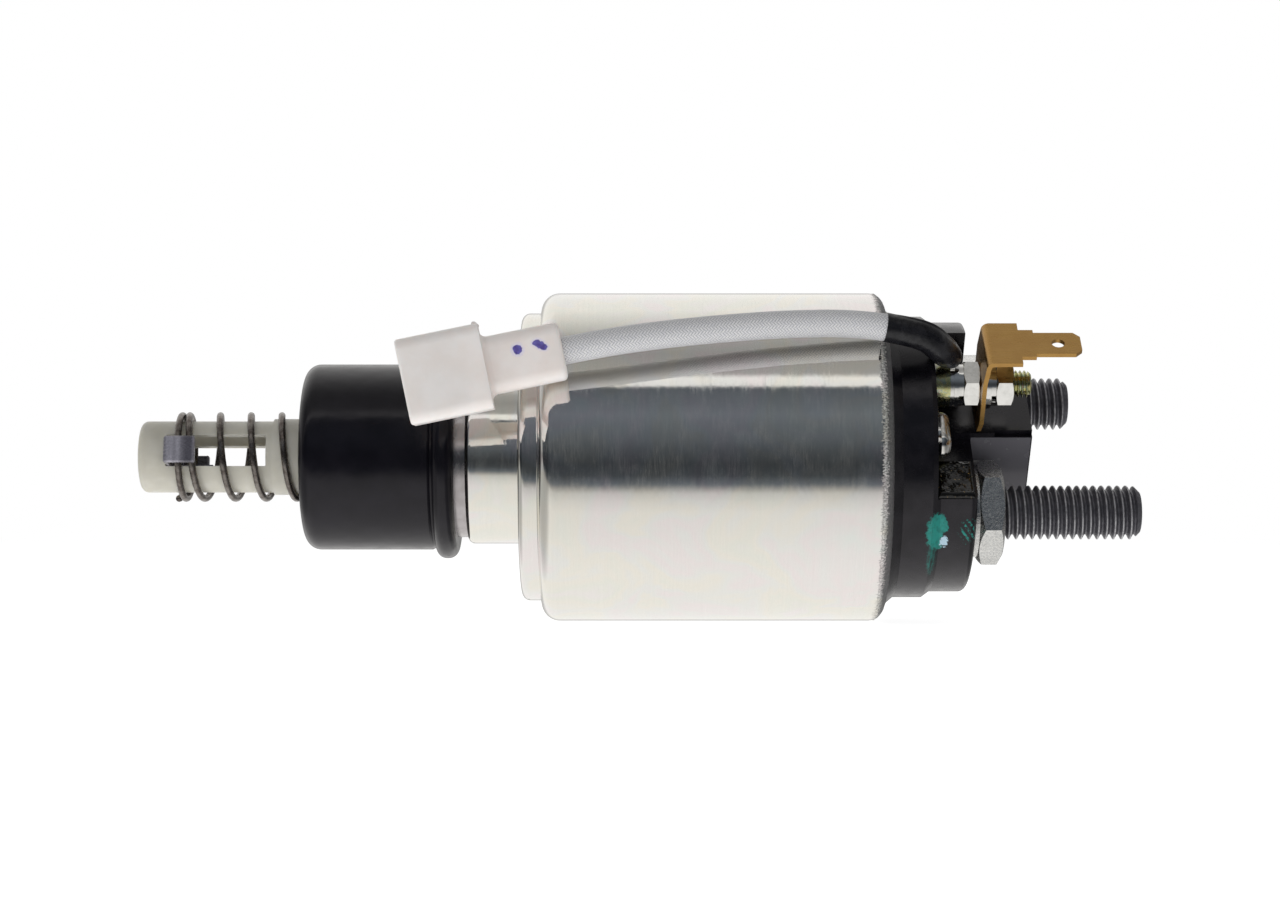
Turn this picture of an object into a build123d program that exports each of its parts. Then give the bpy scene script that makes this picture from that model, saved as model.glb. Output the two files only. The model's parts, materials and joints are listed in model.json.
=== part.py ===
from build123d import *
import math
import os

# Starter solenoid, sizes in millimetres.
# X runs along the plunger's axis towards the terminals, and Z is up.
# The origin is on the axis, at the front face of the case's shoulder.

os.makedirs("parts", exist_ok=True)

# Clearances
seat_gap = 0.05
running_gap = 0.08
stop_gap = 0.1
open_gap = 0.5

# Case, a deep drawn steel can crimped over the terminal cap
case_radius = 31.0
case_wall = 2.0
case_end = 67.9
case_front_share = 0.96
case_inner_corner = 1.2
shoulder_step = 3.8
shoulder_length = 3.7
shoulder_edge = 1.5
shoulder_root = 0.3
crimp_corner = 2.6
crimp_lip_width = 2.65

# Front pole, whose neck pilots in the starter's nose housing
neck_radius = 16.4
neck_length = 10.2
neck_edge = 1.2
pole_plate_thickness = 2.9
pole_plate_chamfer = 1.4
mount_hole_radius = 2.1
mount_circle = 44.0
mount_holes = 3

# Nose bush, which stops the return spring and carries the boot
nose_radius = 15.2
nose_length = 7.8
nose_edge = 0.4

# Plunger
plunger_radius = 12.0
plunger_front = -37.85
plunger_rear = 28.0
plunger_cone_length = 4.0
plunger_cone_tip_radius = 6.5
plunger_bore_depth = 13.85
stroke = 11.0
air_gap_left = 0.5
sleeve_wall = 0.6
clip_groove_depth = 0.7
clip_groove_width = 1.0
clip_groove_setback = 0.7

# Spring retainer and its clip, on the plunger's front end
retainer_radius = 15.0
retainer_thickness = 1.0
retainer_clip_radius = 13.1

# Link tube, which takes the tip of the shift lever
tube_radius = 6.75
tube_bore_radius = 5.0
tube_front = -72.1
tube_edge = 1.2
collar_radius = 7.2
window_front = -66.8
window_height = 6.0
window_corner = 0.2
window_turn = 12.0
collar_setback = 1.0

# Cross bar, which slides in the window and hooks over the link spring
bar_web = 0.8
bar_height = 5.0
bar_strip = 1.0
bar_hook_length = 5.85
bar_lip = 0.2
bar_lip_length = 0.5
bar_edge = 0.7
bar_corner = 0.4
tongue_end = -58.5
tongue_half_width = 2.0
bar_travel = 10.4

# Link spring, seen round the tube
link_wire = 1.3
link_mean_radius = 8.05
link_closed_pitch = 1.36
link_front_closed_turns = 1.5
link_open_turns = 4
link_rear_closed_turns = 1
link_start_angle = -90.0

# Return spring, hidden under the boot
return_wire = 1.4
return_mean_radius = 13.75
return_open_turns = 2
return_closed_turns = 0.5

# Boot
boot_radius = 17.55
boot_front = -40.9
boot_rear = -12.1
boot_wall = 2.0
boot_corner = 2.8
boot_hole_radius = 10.4
boot_waist_radius = 17.3
boot_waist_start = -17.0
boot_waist_step = 0.5
boot_lip_start = -16.2
boot_lip_radius = 19.2
boot_lip_round = 1.9
boot_grip_length = 7.4

# Bobbin and windings
bobbin_setback = 0.7
bobbin_hub_wall = 1.2
bobbin_cheek = 1.4
winding_split_share = 0.51
winding_setback = 1.2

# Fixed core and yoke plate
yoke_front = 58.0
yoke_thickness = 4.0
core_recess_radius = 7.0
core_recess_front = 52.0
gasket_thickness = 0.8
gasket_width = 4.9

# Contact rod and what slides with it
rod_radius = 2.5
rod_push_gap = 0.35
rod_length = 32.9
rod_flange_front = 53.2
rod_flange_thickness = 0.9
rod_flange_radius = 5.6
contact_ratio = 0.25
insulator_cheek = 1.0
insulator_radius = 6.5
insulator_hub_radius = 3.6
disc_radius = 17.5
disc_thickness = 2.2
disc_edge = 0.4
rod_clip_thickness = 0.8
rod_clip_radius = 4.1
pressure_wire = 0.9
pressure_mean_radius = 4.6
contact_wire = 0.6
contact_mean_radius = 3.4
inner_spring_turns = 3.5

# Terminal cap
cap_turn = 40.0
cap_shoulder_gap = 0.15
cap_flange_step = 1.6
cap_flange_start = 69.8
cap_flange_end = 75.2
cap_step = 1.1
cap_slope_end = 76.7
cap_end = 83.5
cap_edge = 1.3
cap_floor = 76.1
cap_floor_edge = 9.8
cap_boss_end = 82.7
chamber_wall = 5.9
chamber_end = 72.0
spring_pocket_radius = 4.6
spring_pocket_end = 75.2
barrier_half_width = 6.5
barrier_half_height = 11.2
barrier_end = 95.0
barrier_edge = 0.8
barrier_rabbet = 0.9
barrier_rabbet_start = 88.0
nut_relief_radius = 10.6
nut_relief_end = 90.0
nut_relief_cone = 1.7

# Main studs, nuts and washers
stud_inset = 7.0
stud_radius = 5.0
stud_shank_radius = 5.2
thread_pitch_radius = 4.5
stud_head_width = 11.5
stud_head_thickness = 3.0
stud_chamfer = 1.2
battery_stud_end = 114.6
motor_stud_end = 104.8
main_washer_radius = 8.3
main_washer_thickness = 0.8
main_nut_flats = 17.0
main_nut_height = 4.6
main_nut_turn = 38.2
nut_cone_angle = 30.0
nut_face_share = 0.97

# Signal stud and its stack, from the cap's floor outwards
signal_row = -0.6
signal_height = 18.2
signal_radius = 2.5
signal_hole_radius = 2.55
signal_head_radius = 4.2
signal_head_thickness = 1.6
signal_stud_end = 94.5
signal_chamfer = 0.6
signal_collar_radius = 4.6
signal_collar_thickness = 2.6
signal_nut_flats = 8.0
signal_nut_turn = 20.0
signal_first_nut_height = 3.1
signal_second_nut_height = 3.3
signal_washer_radius = 4.6
first_washer_thickness = 0.8
second_washer_thickness = 1.2
lock_washer_radius = 4.1
lock_washer_thickness = 0.9
lock_washer_slit = 0.7

# Winding strap and solder dome on the cap's floor
strap_thickness = 0.6
strap_width = 4.0
strap_eye_radius = 4.4
dome_row = -14.0
dome_height = 17.0
dome_radius = 2.6
dome_spread = 4.4
dome_rise = 1.9
dome_round_share = 0.9
pin_radius = 1.2

# Blade terminal
blade_thickness = 0.8
blade_width = 12.1
blade_foot = 6.4
blade_foot_lean = 0.4
blade_lean = 0.5
blade_bend = 27.7
blade_bend_radius = 1.4
blade_wide_length = 6.4
blade_step_length = 2.7
blade_step_width = 8.0
tab_width = 6.3
tab_length = 8.5
tab_chamfer = 1.2
tab_hole_radius = 1.2
tab_hole_setback = 4.2

# Ring terminal of the lead
lug_thickness = 0.8
lug_radius = 4.5
lug_barrel_radius = 1.5
lug_reach = 22.9

# Lead, from the ring terminal to the connector
lead_diameter = 5.0
shrink_diameter = 5.2
arc_share = 0.45
shrink_share = 0.45
lead_start = (79.5, -16.4, 18.4)
lead_route = [(77.6, -21.1, 19.1), (73.4, -24.4, 22.3), (62.0, -25.2, 24.2), (49.0, -26.6, 24.0),
              (36.0, -28.4, 23.0), (24.5, -30.4, 21.7), (14.8, -31.8, 20.2), (8.5, -32.0, 18.9)]

# Connector housing, an open shroud with a narrower neck for the lead
neck_box_length = 14.0
neck_box_height = 10.4
neck_box_depth = 8.0
neck_box_round = 2.2
neck_box_end_round = 0.9
shroud_length = 14.9
shroud_height = 15.4
shroud_depth = 12.4
shroud_round = 2.0
shroud_wall = 1.4
shroud_cavity = 11.0
shroud_fillet = 1.2
shroud_edge = 0.5
shroud_rib = 0.45
pin_blade_width = 6.3
pin_blade_thickness = 0.8
pin_blade_length = 8.5
pin_blade_chamfer = 0.25


# Places worked out from the sizes above

stud_row = Vector(0, math.cos(math.radians(cap_turn)), math.sin(math.radians(cap_turn)))
signal_place = (signal_row, signal_height)

nose_front = -neck_length - nose_length
sleeve_inner = plunger_radius + running_gap
sleeve_outer = sleeve_inner + sleeve_wall
sleeve_seat = sleeve_outer + seat_gap
core_radius = sleeve_inner - seat_gap
core_tip = plunger_rear + stroke + air_gap_left
core_rim = core_tip - plunger_cone_length
yoke_end = yoke_front + yoke_thickness
cap_front = yoke_end + gasket_thickness
case_inner = case_radius - case_wall
shoulder_radius = case_radius - shoulder_step
case_front_corner = case_front_share * (shoulder_step - shoulder_root)
crimp_lip_radius = case_radius - crimp_lip_width
crimp_inner_face = case_end - case_wall
pole_front = case_wall + seat_gap
pole_step = shoulder_length + case_wall + seat_gap
pole_end = pole_step + pole_plate_thickness
inside_radius = case_inner - 2 * seat_gap
bobbin_radius = inside_radius - bobbin_setback
winding_radius = bobbin_radius - winding_setback
gasket_inner_radius = inside_radius - gasket_width
chamber_radius = inside_radius - chamber_wall
cap_shoulder_radius = crimp_lip_radius - cap_shoulder_gap
cap_flange_radius = cap_shoulder_radius - cap_flange_step
cap_radius = cap_flange_radius - cap_step
stud_hole_radius = stud_shank_radius + seat_gap
battery_place = (stud_inset - chamber_radius, 0)
motor_place = (chamber_radius - stud_inset, 0)
window_rear = tongue_end + bar_travel + stop_gap
contact_travel = stroke * contact_ratio
stud_face = chamber_end - stud_head_thickness
disc_rear = stud_face - stop_gap - contact_travel
disc_front = disc_rear - disc_thickness
insulator_front = disc_front - seat_gap - insulator_cheek
rod_front = plunger_rear + stroke + rod_push_gap - contact_travel


def across(x):
    """Plane across the axis at x, turned with the cap: its own X runs along the row of main studs."""
    return Plane(origin=(x, 0, 0), x_dir=stud_row, z_dir=(1, 0, 0))


def centre_of(place):
    """A point on the cap, given along and across the row of studs, at X = 0."""
    return across(0).from_local_coords(Vector(place[0], place[1], 0))


def turned(label, outline, place=(0, 0), rounds=()):
    """Body turned about a line along X through place. The outline and the rounds give x and radius."""
    profile = Plane(origin=centre_of(place), x_dir=(1, 0, 0), z_dir=(0, -1, 0))
    with BuildPart() as piece:
        with BuildSketch(profile) as section:
            with BuildLine():
                Polyline(*outline, close=True)
            make_face()
            for x, radius, size in rounds:
                fillet(section.vertices().sort_by_distance((x, radius))[0], size)
        revolve(axis=Axis(profile.origin, (1, 0, 0)))
    piece.part.label = label
    return piece


def tube(label, start, end, inner, outer, place=(0, 0)):
    """Plain ring or tube along X."""
    return turned(label, [(start, inner), (end, inner), (end, outer), (start, outer)], place)


def coil_spring(label, start, turns_and_pitches, mean_radius, wire, start_angle=0.0, sides=0):
    """Compression spring along +X from its first wire centre, as helices that follow each other."""
    x = start
    angle = start_angle
    stretches = []
    for turns, pitch in turns_and_pitches:
        outward = Vector(0, math.cos(math.radians(angle)), math.sin(math.radians(angle)))
        frame = Plane(origin=(x, 0, 0), x_dir=outward, z_dir=(1, 0, 0))
        path = frame.location * Edge.make_helix(pitch, pitch * turns, mean_radius)
        stretches.append((path, Plane(origin=path @ 0, x_dir=(1, 0, 0), z_dir=frame.y_dir)))
        x += pitch * turns
        angle += 360 * turns
    with BuildPart() as spring:
        for path, wire_plane in stretches:
            with BuildSketch(wire_plane) as wire_section:
                if sides:
                    RegularPolygon(wire / 2, sides)
                else:
                    Circle(wire / 2)
            sweep(sections=wire_section.sketch, path=path, is_frenet=True)
    spring.part.label = label
    return spring


def hex_nuts(label, starts, height, flats, hole_radius, places, turn):
    """Hex nuts along X, their corners turned down to a cone at both ends."""
    corner = flats / math.sqrt(3)
    face = nut_face_share * flats / 2
    cone = (corner - face) * math.tan(math.radians(nut_cone_angle))
    blanks = Part()
    for start, place in zip(starts, places):
        end = start + height
        blanks += turned("blank", [(start, hole_radius), (start, face), (start + cone, corner),
                                   (end - cone, corner), (end, face), (end, hole_radius)], place).part
    with BuildPart() as nuts:
        for start, place in zip(starts, places):
            with BuildSketch(across(start)):
                with Locations(place):
                    RegularPolygon(flats / 2, 6, major_radius=False, rotation=turn)
            extrude(amount=height)
        add(blanks, mode=Mode.INTERSECT)
    nuts.part.label = label
    return nuts


def save(piece):
    """Write one piece under its own name."""
    export_step(piece.part, f"parts/{piece.part.label}.step")


# Case
shoulder_inner = shoulder_radius - case_wall
shoulder_rear = shoulder_length + case_wall
case_blank = turned("case", [
    (0, neck_radius + open_gap), (0, shoulder_radius), (shoulder_length, shoulder_radius),
    (shoulder_length, case_radius), (case_end, case_radius), (case_end, crimp_lip_radius),
    (crimp_inner_face, crimp_lip_radius), (crimp_inner_face, case_inner), (shoulder_rear, case_inner),
    (shoulder_rear, shoulder_inner), (case_wall, shoulder_inner), (case_wall, neck_radius + open_gap)],
    rounds=[
        (0, shoulder_radius, shoulder_edge), (shoulder_length, shoulder_radius, shoulder_root),
        (shoulder_length, case_radius, case_front_corner), (case_end, case_radius, crimp_corner),
        (shoulder_rear, case_inner, case_inner_corner)])
with BuildPart() as case:
    add(case_blank.part)
    with BuildSketch(across(0)):
        with PolarLocations(mount_circle / 2, mount_holes):
            Circle(mount_hole_radius)
    extrude(amount=case_wall, mode=Mode.SUBTRACT)
case.part.label = "case"
save(case)

# Front pole with its neck, tapped in line with the case's holes
pole_seat_radius = shoulder_inner - 2 * seat_gap
pole_blank = turned("front_pole", [
    (-neck_length, sleeve_seat), (pole_end, sleeve_seat), (pole_end, inside_radius),
    (pole_step, inside_radius), (pole_step, pole_seat_radius), (pole_front, pole_seat_radius),
    (pole_front, neck_radius), (-neck_length, neck_radius)], rounds=[(-neck_length, neck_radius, neck_edge)])
with BuildPart() as front_pole:
    add(pole_blank.part)
    rim_edges = front_pole.edges().filter_by(GeomType.CIRCLE).filter_by(
        lambda edge: abs(edge.radius - inside_radius) < seat_gap / 2)
    chamfer(rim_edges.sort_by(Axis.X)[0], pole_plate_chamfer)
    with BuildSketch(across(pole_front)):
        with PolarLocations(mount_circle / 2, mount_holes):
            Circle(mount_hole_radius)
    extrude(amount=pole_end - pole_front, mode=Mode.SUBTRACT)
front_pole.part.label = "front_pole"
save(front_pole)

# Nose bush
nose_bush = turned("nose_bush", [(nose_front, sleeve_seat), (-neck_length, sleeve_seat),
                                 (-neck_length, nose_radius), (nose_front, nose_radius)],
                   rounds=[(nose_front, nose_radius, nose_edge)])
save(nose_bush)

# Guide sleeve, from the nose bush to the yoke plate
guide_sleeve = tube("guide_sleeve", nose_front + open_gap, yoke_front - seat_gap, sleeve_inner, sleeve_outer)
save(guide_sleeve)

# Bobbin
hub_radius = sleeve_seat + bobbin_hub_wall
winding_split_radius = hub_radius + winding_split_share * (winding_radius - hub_radius)
bobbin_front = pole_end + seat_gap
bobbin_rear = yoke_front - seat_gap
bobbin = turned("bobbin", [
    (bobbin_front, sleeve_seat), (bobbin_rear, sleeve_seat), (bobbin_rear, bobbin_radius),
    (bobbin_rear - bobbin_cheek, bobbin_radius), (bobbin_rear - bobbin_cheek, hub_radius),
    (bobbin_front + bobbin_cheek, hub_radius), (bobbin_front + bobbin_cheek, bobbin_radius),
    (bobbin_front, bobbin_radius)])
save(bobbin)

# Windings
winding_start = bobbin_front + bobbin_cheek + seat_gap
winding_end = bobbin_rear - bobbin_cheek - seat_gap
pull_in_winding = tube("pull_in_winding", winding_start, winding_end,
                       hub_radius + seat_gap, winding_split_radius)
hold_in_winding = tube("hold_in_winding", winding_start, winding_end,
                       winding_split_radius + seat_gap, winding_radius)
save(pull_in_winding)
save(hold_in_winding)

# Fixed core, with a conical seat for the plunger and a recess for the pressure spring
rod_hole_radius = rod_radius + running_gap
fixed_core = turned("fixed_core", [
    (core_rim, core_radius), (core_tip, plunger_cone_tip_radius), (core_tip, rod_hole_radius),
    (core_recess_front, rod_hole_radius), (core_recess_front, core_recess_radius),
    (yoke_end, core_recess_radius), (yoke_end, core_radius)])
save(fixed_core)

# Yoke plate and gasket
yoke_plate = tube("yoke_plate", yoke_front, yoke_end, core_radius + seat_gap, inside_radius)
save(yoke_plate)
cap_gasket = tube("cap_gasket", yoke_end, cap_front, gasket_inner_radius, inside_radius)
save(cap_gasket)

# Plunger, bored for the link tube and coned at the back
clip_front = plunger_front + clip_groove_setback
clip_rear = clip_front + clip_groove_width
groove_radius = plunger_radius - clip_groove_depth
tube_seat = collar_radius + seat_gap
bore_end = plunger_front + plunger_bore_depth
plunger = turned("plunger", [
    (plunger_front, tube_seat), (plunger_front, plunger_radius), (clip_front, plunger_radius),
    (clip_front, groove_radius), (clip_rear, groove_radius), (clip_rear, plunger_radius),
    (plunger_rear - plunger_cone_length, plunger_radius), (plunger_rear, plunger_cone_tip_radius),
    (plunger_rear, 0), (bore_end, 0), (bore_end, tube_seat)])
save(plunger)

# Spring retainer and its clip
retainer_front = clip_rear + seat_gap
retainer_rear = retainer_front + retainer_thickness
spring_retainer = tube("spring_retainer", retainer_front, retainer_rear,
                       plunger_radius + seat_gap, retainer_radius)
save(spring_retainer)
clip_blank = tube("retainer_clip", clip_front + seat_gap, clip_rear - seat_gap,
                  groove_radius + seat_gap, retainer_clip_radius)
with BuildPart() as retainer_clip:
    add(clip_blank.part)
    with BuildSketch(Plane.YZ.offset(clip_front)):
        with Locations((0, -plunger_radius)):
            Rectangle(plunger_radius / 2, plunger_radius)
    extrude(amount=clip_groove_width, mode=Mode.SUBTRACT)
retainer_clip.part.label = "retainer_clip"
save(retainer_clip)

# Link tube with its window
tube_rear = bore_end - seat_gap
tube_blank = turned("link_tube", [
    (tube_front, tube_bore_radius), (tube_rear, tube_bore_radius), (tube_rear, collar_radius),
    (window_rear + collar_setback, collar_radius), (window_rear + collar_setback, tube_radius),
    (tube_front, tube_radius)], rounds=[(tube_front, tube_radius, tube_edge)])
window_plane = Plane(origin=(0, 0, 0), x_dir=(1, 0, 0), z_dir=(0, -1, 0)).rotated((-window_turn, 0, 0))
with BuildPart() as link_tube:
    add(tube_blank.part)
    with BuildSketch(window_plane):
        with Locations(((window_front + window_rear) / 2, 0)):
            RectangleRounded(window_rear - window_front, window_height, window_corner)
    extrude(amount=2 * collar_radius, both=True, mode=Mode.SUBTRACT)
link_tube.part.label = "link_tube"
save(link_tube)

# Cross bar, a strip folded round the spring's front coils at both ends, with a tongue in the window
link_outer = link_mean_radius + link_wire / 2
web_front = window_front + seat_gap
bar_hook_end = web_front + bar_hook_length
web_rear = web_front + bar_web
hook_inner = link_outer + seat_gap
hook_outer = hook_inner + bar_strip
lip_inner = hook_inner - bar_lip
bar_lip_front = bar_hook_end - bar_lip_length
bar_drop = (window_height - bar_height) / 2 - running_gap
bar_plane = Plane(origin=(0, 0, 0), x_dir=(1, 0, 0), z_dir=window_plane.y_dir).offset(-bar_drop)
with BuildPart() as cross_bar:
    with BuildSketch(bar_plane) as strip:
        with BuildLine():
            Polyline((web_front, 0), (web_front, hook_outer), (bar_hook_end, hook_outer),
                     (bar_hook_end, lip_inner), (bar_lip_front, lip_inner), (bar_lip_front, hook_inner),
                     (web_rear, hook_inner), (web_rear, 0), close=True)
        make_face()
        fillet(strip.vertices().sort_by_distance((web_front, hook_outer))[0], bar_edge)
        fillet(strip.vertices().sort_by_distance((bar_hook_end, hook_outer))[0], bar_edge / 2)
        mirror(about=Plane.XZ)
    extrude(amount=bar_height / 2, both=True)
    hook_ends = cross_bar.edges().filter_by(Axis((0, 0, 0), window_plane.z_dir)).filter_by(
        lambda edge: abs(edge.center().X - bar_hook_end) < seat_gap)
    fillet(hook_ends, bar_corner)
    with BuildSketch(bar_plane.offset(-bar_height / 2)):
        with Locations(((web_front + tongue_end) / 2, 0)):
            Rectangle(tongue_end - web_front, 2 * tongue_half_width)
    extrude(amount=bar_strip)
cross_bar.part.label = "cross_bar"
save(cross_bar)

# Link spring between the cross bar and the plunger's front face
link_first = web_rear + seat_gap + link_wire / 2
link_last = plunger_front - seat_gap - link_wire / 2
link_closed = (link_front_closed_turns + link_rear_closed_turns) * link_closed_pitch
link_open_pitch = (link_last - link_first - link_closed) / link_open_turns
link_spring = coil_spring("link_spring", link_first, [
    (link_front_closed_turns, link_closed_pitch), (link_open_turns, link_open_pitch),
    (link_rear_closed_turns, link_closed_pitch)], link_mean_radius, link_wire, link_start_angle)
save(link_spring)

# Return spring between the retainer and the nose bush
return_first = retainer_rear + seat_gap + return_wire / 2
return_last = nose_front - seat_gap - return_wire / 2
return_closed_pitch = return_wire + seat_gap
return_closed = 2 * return_closed_turns * return_closed_pitch
return_open_pitch = (return_last - return_first - return_closed) / return_open_turns
return_spring = coil_spring("return_spring", return_first, [
    (return_closed_turns, return_closed_pitch), (return_open_turns, return_open_pitch),
    (return_closed_turns, return_closed_pitch)], return_mean_radius, return_wire, sides=6)
save(return_spring)

# Boot
boot_inner = boot_radius - boot_wall
boot_grip_radius = nose_radius + seat_gap
grip_start = boot_rear - boot_grip_length
boot = turned("boot", [
    (boot_front, boot_hole_radius), (boot_front, boot_radius), (boot_waist_start, boot_radius),
    (boot_waist_start + boot_waist_step, boot_waist_radius), (boot_lip_start, boot_waist_radius),
    (boot_lip_start, boot_lip_radius), (boot_rear, boot_lip_radius), (boot_rear, boot_grip_radius),
    (grip_start, boot_grip_radius), (grip_start, boot_inner), (boot_front + boot_wall, boot_inner),
    (boot_front + boot_wall, boot_hole_radius)], rounds=[
        (boot_front, boot_radius, boot_corner), (boot_lip_start, boot_lip_radius, boot_lip_round),
        (boot_rear, boot_lip_radius, boot_lip_round),
        (boot_front + boot_wall, boot_inner, boot_corner - boot_wall)])
save(boot)

# Contact rod with its spring flange
rod_rear = rod_front + rod_length
flange_rear = rod_flange_front + rod_flange_thickness
contact_rod = turned("contact_rod", [
    (rod_front, 0), (rod_front, rod_radius), (rod_flange_front, rod_radius),
    (rod_flange_front, rod_flange_radius), (flange_rear, rod_flange_radius), (flange_rear, rod_radius),
    (rod_rear, rod_radius), (rod_rear, 0)])
save(contact_rod)

# Insulators on both sides of the contact disc
rod_seat = rod_radius + seat_gap
insulator_step = insulator_front + insulator_cheek
insulator_rear = disc_rear + seat_gap + insulator_cheek
hub_end = disc_rear - seat_gap
front_insulator = turned("front_insulator", [
    (insulator_front, rod_seat), (insulator_front, insulator_radius), (insulator_step, insulator_radius),
    (insulator_step, insulator_hub_radius), (hub_end, insulator_hub_radius), (hub_end, rod_seat)])
rear_insulator = tube("rear_insulator", disc_rear + seat_gap, insulator_rear, rod_seat, insulator_radius)
save(front_insulator)
save(rear_insulator)

# Contact disc
contact_disc = turned("contact_disc", [
    (disc_front, insulator_hub_radius + seat_gap), (disc_front, disc_radius), (disc_rear, disc_radius),
    (disc_rear, insulator_hub_radius + seat_gap)],
    rounds=[(disc_front, disc_radius, disc_edge), (disc_rear, disc_radius, disc_edge)])
save(contact_disc)

# Rod clip
rod_clip_start = insulator_rear + seat_gap
rod_clip_end = rod_clip_start + rod_clip_thickness
rod_clip = tube("rod_clip", rod_clip_start, rod_clip_end, rod_seat, rod_clip_radius)
save(rod_clip)

# Contact pressure spring and contact return spring
pressure_first = flange_rear + seat_gap + pressure_wire / 2
pressure_last = insulator_front - seat_gap - pressure_wire / 2
contact_pressure_spring = coil_spring("contact_pressure_spring", pressure_first, [
    (inner_spring_turns, (pressure_last - pressure_first) / inner_spring_turns)],
    pressure_mean_radius, pressure_wire, sides=6)
save(contact_pressure_spring)
contact_first = rod_clip_end + seat_gap + contact_wire / 2
contact_last = spring_pocket_end - seat_gap - contact_wire / 2
contact_return_spring = coil_spring("contact_return_spring", contact_first, [
    (inner_spring_turns, (contact_last - contact_first) / inner_spring_turns)],
    contact_mean_radius, contact_wire, sides=6)
save(contact_return_spring)

# Terminal cap
cap_blank = turned("terminal_cap", [
    (cap_front, chamber_radius), (cap_front, inside_radius), (crimp_inner_face - seat_gap, inside_radius),
    (crimp_inner_face - seat_gap, cap_shoulder_radius), (case_end + seat_gap, cap_shoulder_radius),
    (cap_flange_start, cap_flange_radius), (cap_flange_end, cap_flange_radius), (cap_slope_end, cap_radius),
    (cap_end, cap_radius), (cap_end, 0), (spring_pocket_end, 0), (spring_pocket_end, spring_pocket_radius),
    (chamber_end, spring_pocket_radius), (chamber_end, chamber_radius)],
    rounds=[(cap_end, cap_radius, cap_edge)])
relief = Part()
for place in (battery_place, motor_place):
    relief += turned("relief", [(cap_end, 0), (cap_end, nut_relief_radius),
                                (nut_relief_end - nut_relief_cone, nut_relief_radius),
                                (nut_relief_end, nut_relief_radius - nut_relief_cone), (nut_relief_end, 0)],
                     place).part
with BuildPart() as terminal_cap:
    add(cap_blank.part)
    # flat floor round the signal stud, with a boss left standing on its far side
    with BuildSketch(across(cap_floor)):
        with BuildLine():
            Polyline((-cap_radius, cap_floor_edge), (barrier_half_width, cap_floor_edge),
                     (barrier_half_width, 2 * cap_radius), (-cap_radius, 2 * cap_radius), close=True)
        make_face()
    extrude(amount=cap_end - cap_floor, mode=Mode.SUBTRACT)
    with BuildSketch(across(cap_boss_end)):
        with BuildLine():
            Polyline((barrier_half_width, barrier_half_height), (cap_radius, barrier_half_height),
                     (cap_radius, 2 * cap_radius), (barrier_half_width, 2 * cap_radius), close=True)
        make_face()
    extrude(amount=cap_end - cap_boss_end, mode=Mode.SUBTRACT)
    # barrier between the main studs, standing on the floor at its near end
    with BuildSketch(across(cap_floor)):
        Rectangle(2 * barrier_half_width, 2 * barrier_half_height)
    extrude(amount=barrier_end - cap_floor)
    long_edges = terminal_cap.edges().filter_by(Axis.X).filter_by(lambda edge: edge.center().X > cap_end)
    near_top = across((cap_floor + barrier_end) / 2).from_local_coords(
        Vector(-barrier_half_width, barrier_half_height, 0))
    fillet(long_edges.sort_by_distance(near_top)[1:], barrier_edge)
    with BuildSketch(across(barrier_rabbet_start)):
        with Locations((-barrier_half_width, barrier_half_height)):
            Rectangle(2 * barrier_rabbet, 2 * barrier_rabbet)
    extrude(amount=barrier_end - barrier_rabbet_start, mode=Mode.SUBTRACT)
    add(relief, mode=Mode.SUBTRACT)
    # holes for the studs and the winding's pin
    with BuildSketch(across(chamber_end)):
        with Locations(battery_place, motor_place):
            Circle(stud_hole_radius)
        with Locations(signal_place):
            Circle(signal_hole_radius)
        with Locations((dome_row, dome_height)):
            Circle(pin_radius + seat_gap)
    extrude(amount=barrier_end - chamber_end, mode=Mode.SUBTRACT)
terminal_cap.part.label = "terminal_cap"
save(terminal_cap)


def main_stud(label, place, end):
    """Main stud with a square contact head in the chamber, at the thread's pitch radius inside its nut."""
    shank = turned(label, [
        (stud_face, 0), (stud_face, stud_shank_radius), (cap_end, stud_shank_radius),
        (cap_end, thread_pitch_radius), (nut_end, thread_pitch_radius), (nut_end, stud_radius),
        (end - stud_chamfer, stud_radius), (end, stud_radius - stud_chamfer), (end, 0)], place)
    with BuildPart() as stud:
        add(shank.part)
        with BuildSketch(across(stud_face)):
            with Locations(place):
                Rectangle(stud_head_width, stud_head_width)
        extrude(amount=stud_head_thickness)
    stud.part.label = label
    return stud


# Main studs with their washers and nuts
washer_end = cap_end + main_washer_thickness
nut_end = washer_end + main_nut_height + seat_gap
nut_bore_radius = thread_pitch_radius + seat_gap
save(main_stud("battery_stud", battery_place, battery_stud_end))
save(main_stud("motor_stud", motor_place, motor_stud_end))
main_places = [battery_place, motor_place]
with BuildPart() as terminal_washers:
    with BuildSketch(across(cap_end)):
        with Locations(*main_places):
            Circle(main_washer_radius)
            Circle(stud_hole_radius, mode=Mode.SUBTRACT)
    extrude(amount=main_washer_thickness)
terminal_washers.part.label = "terminal_washers"
save(terminal_washers)
save(hex_nuts("terminal_nuts", [washer_end, washer_end], main_nut_height, main_nut_flats,
              nut_bore_radius, main_places, main_nut_turn))

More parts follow.
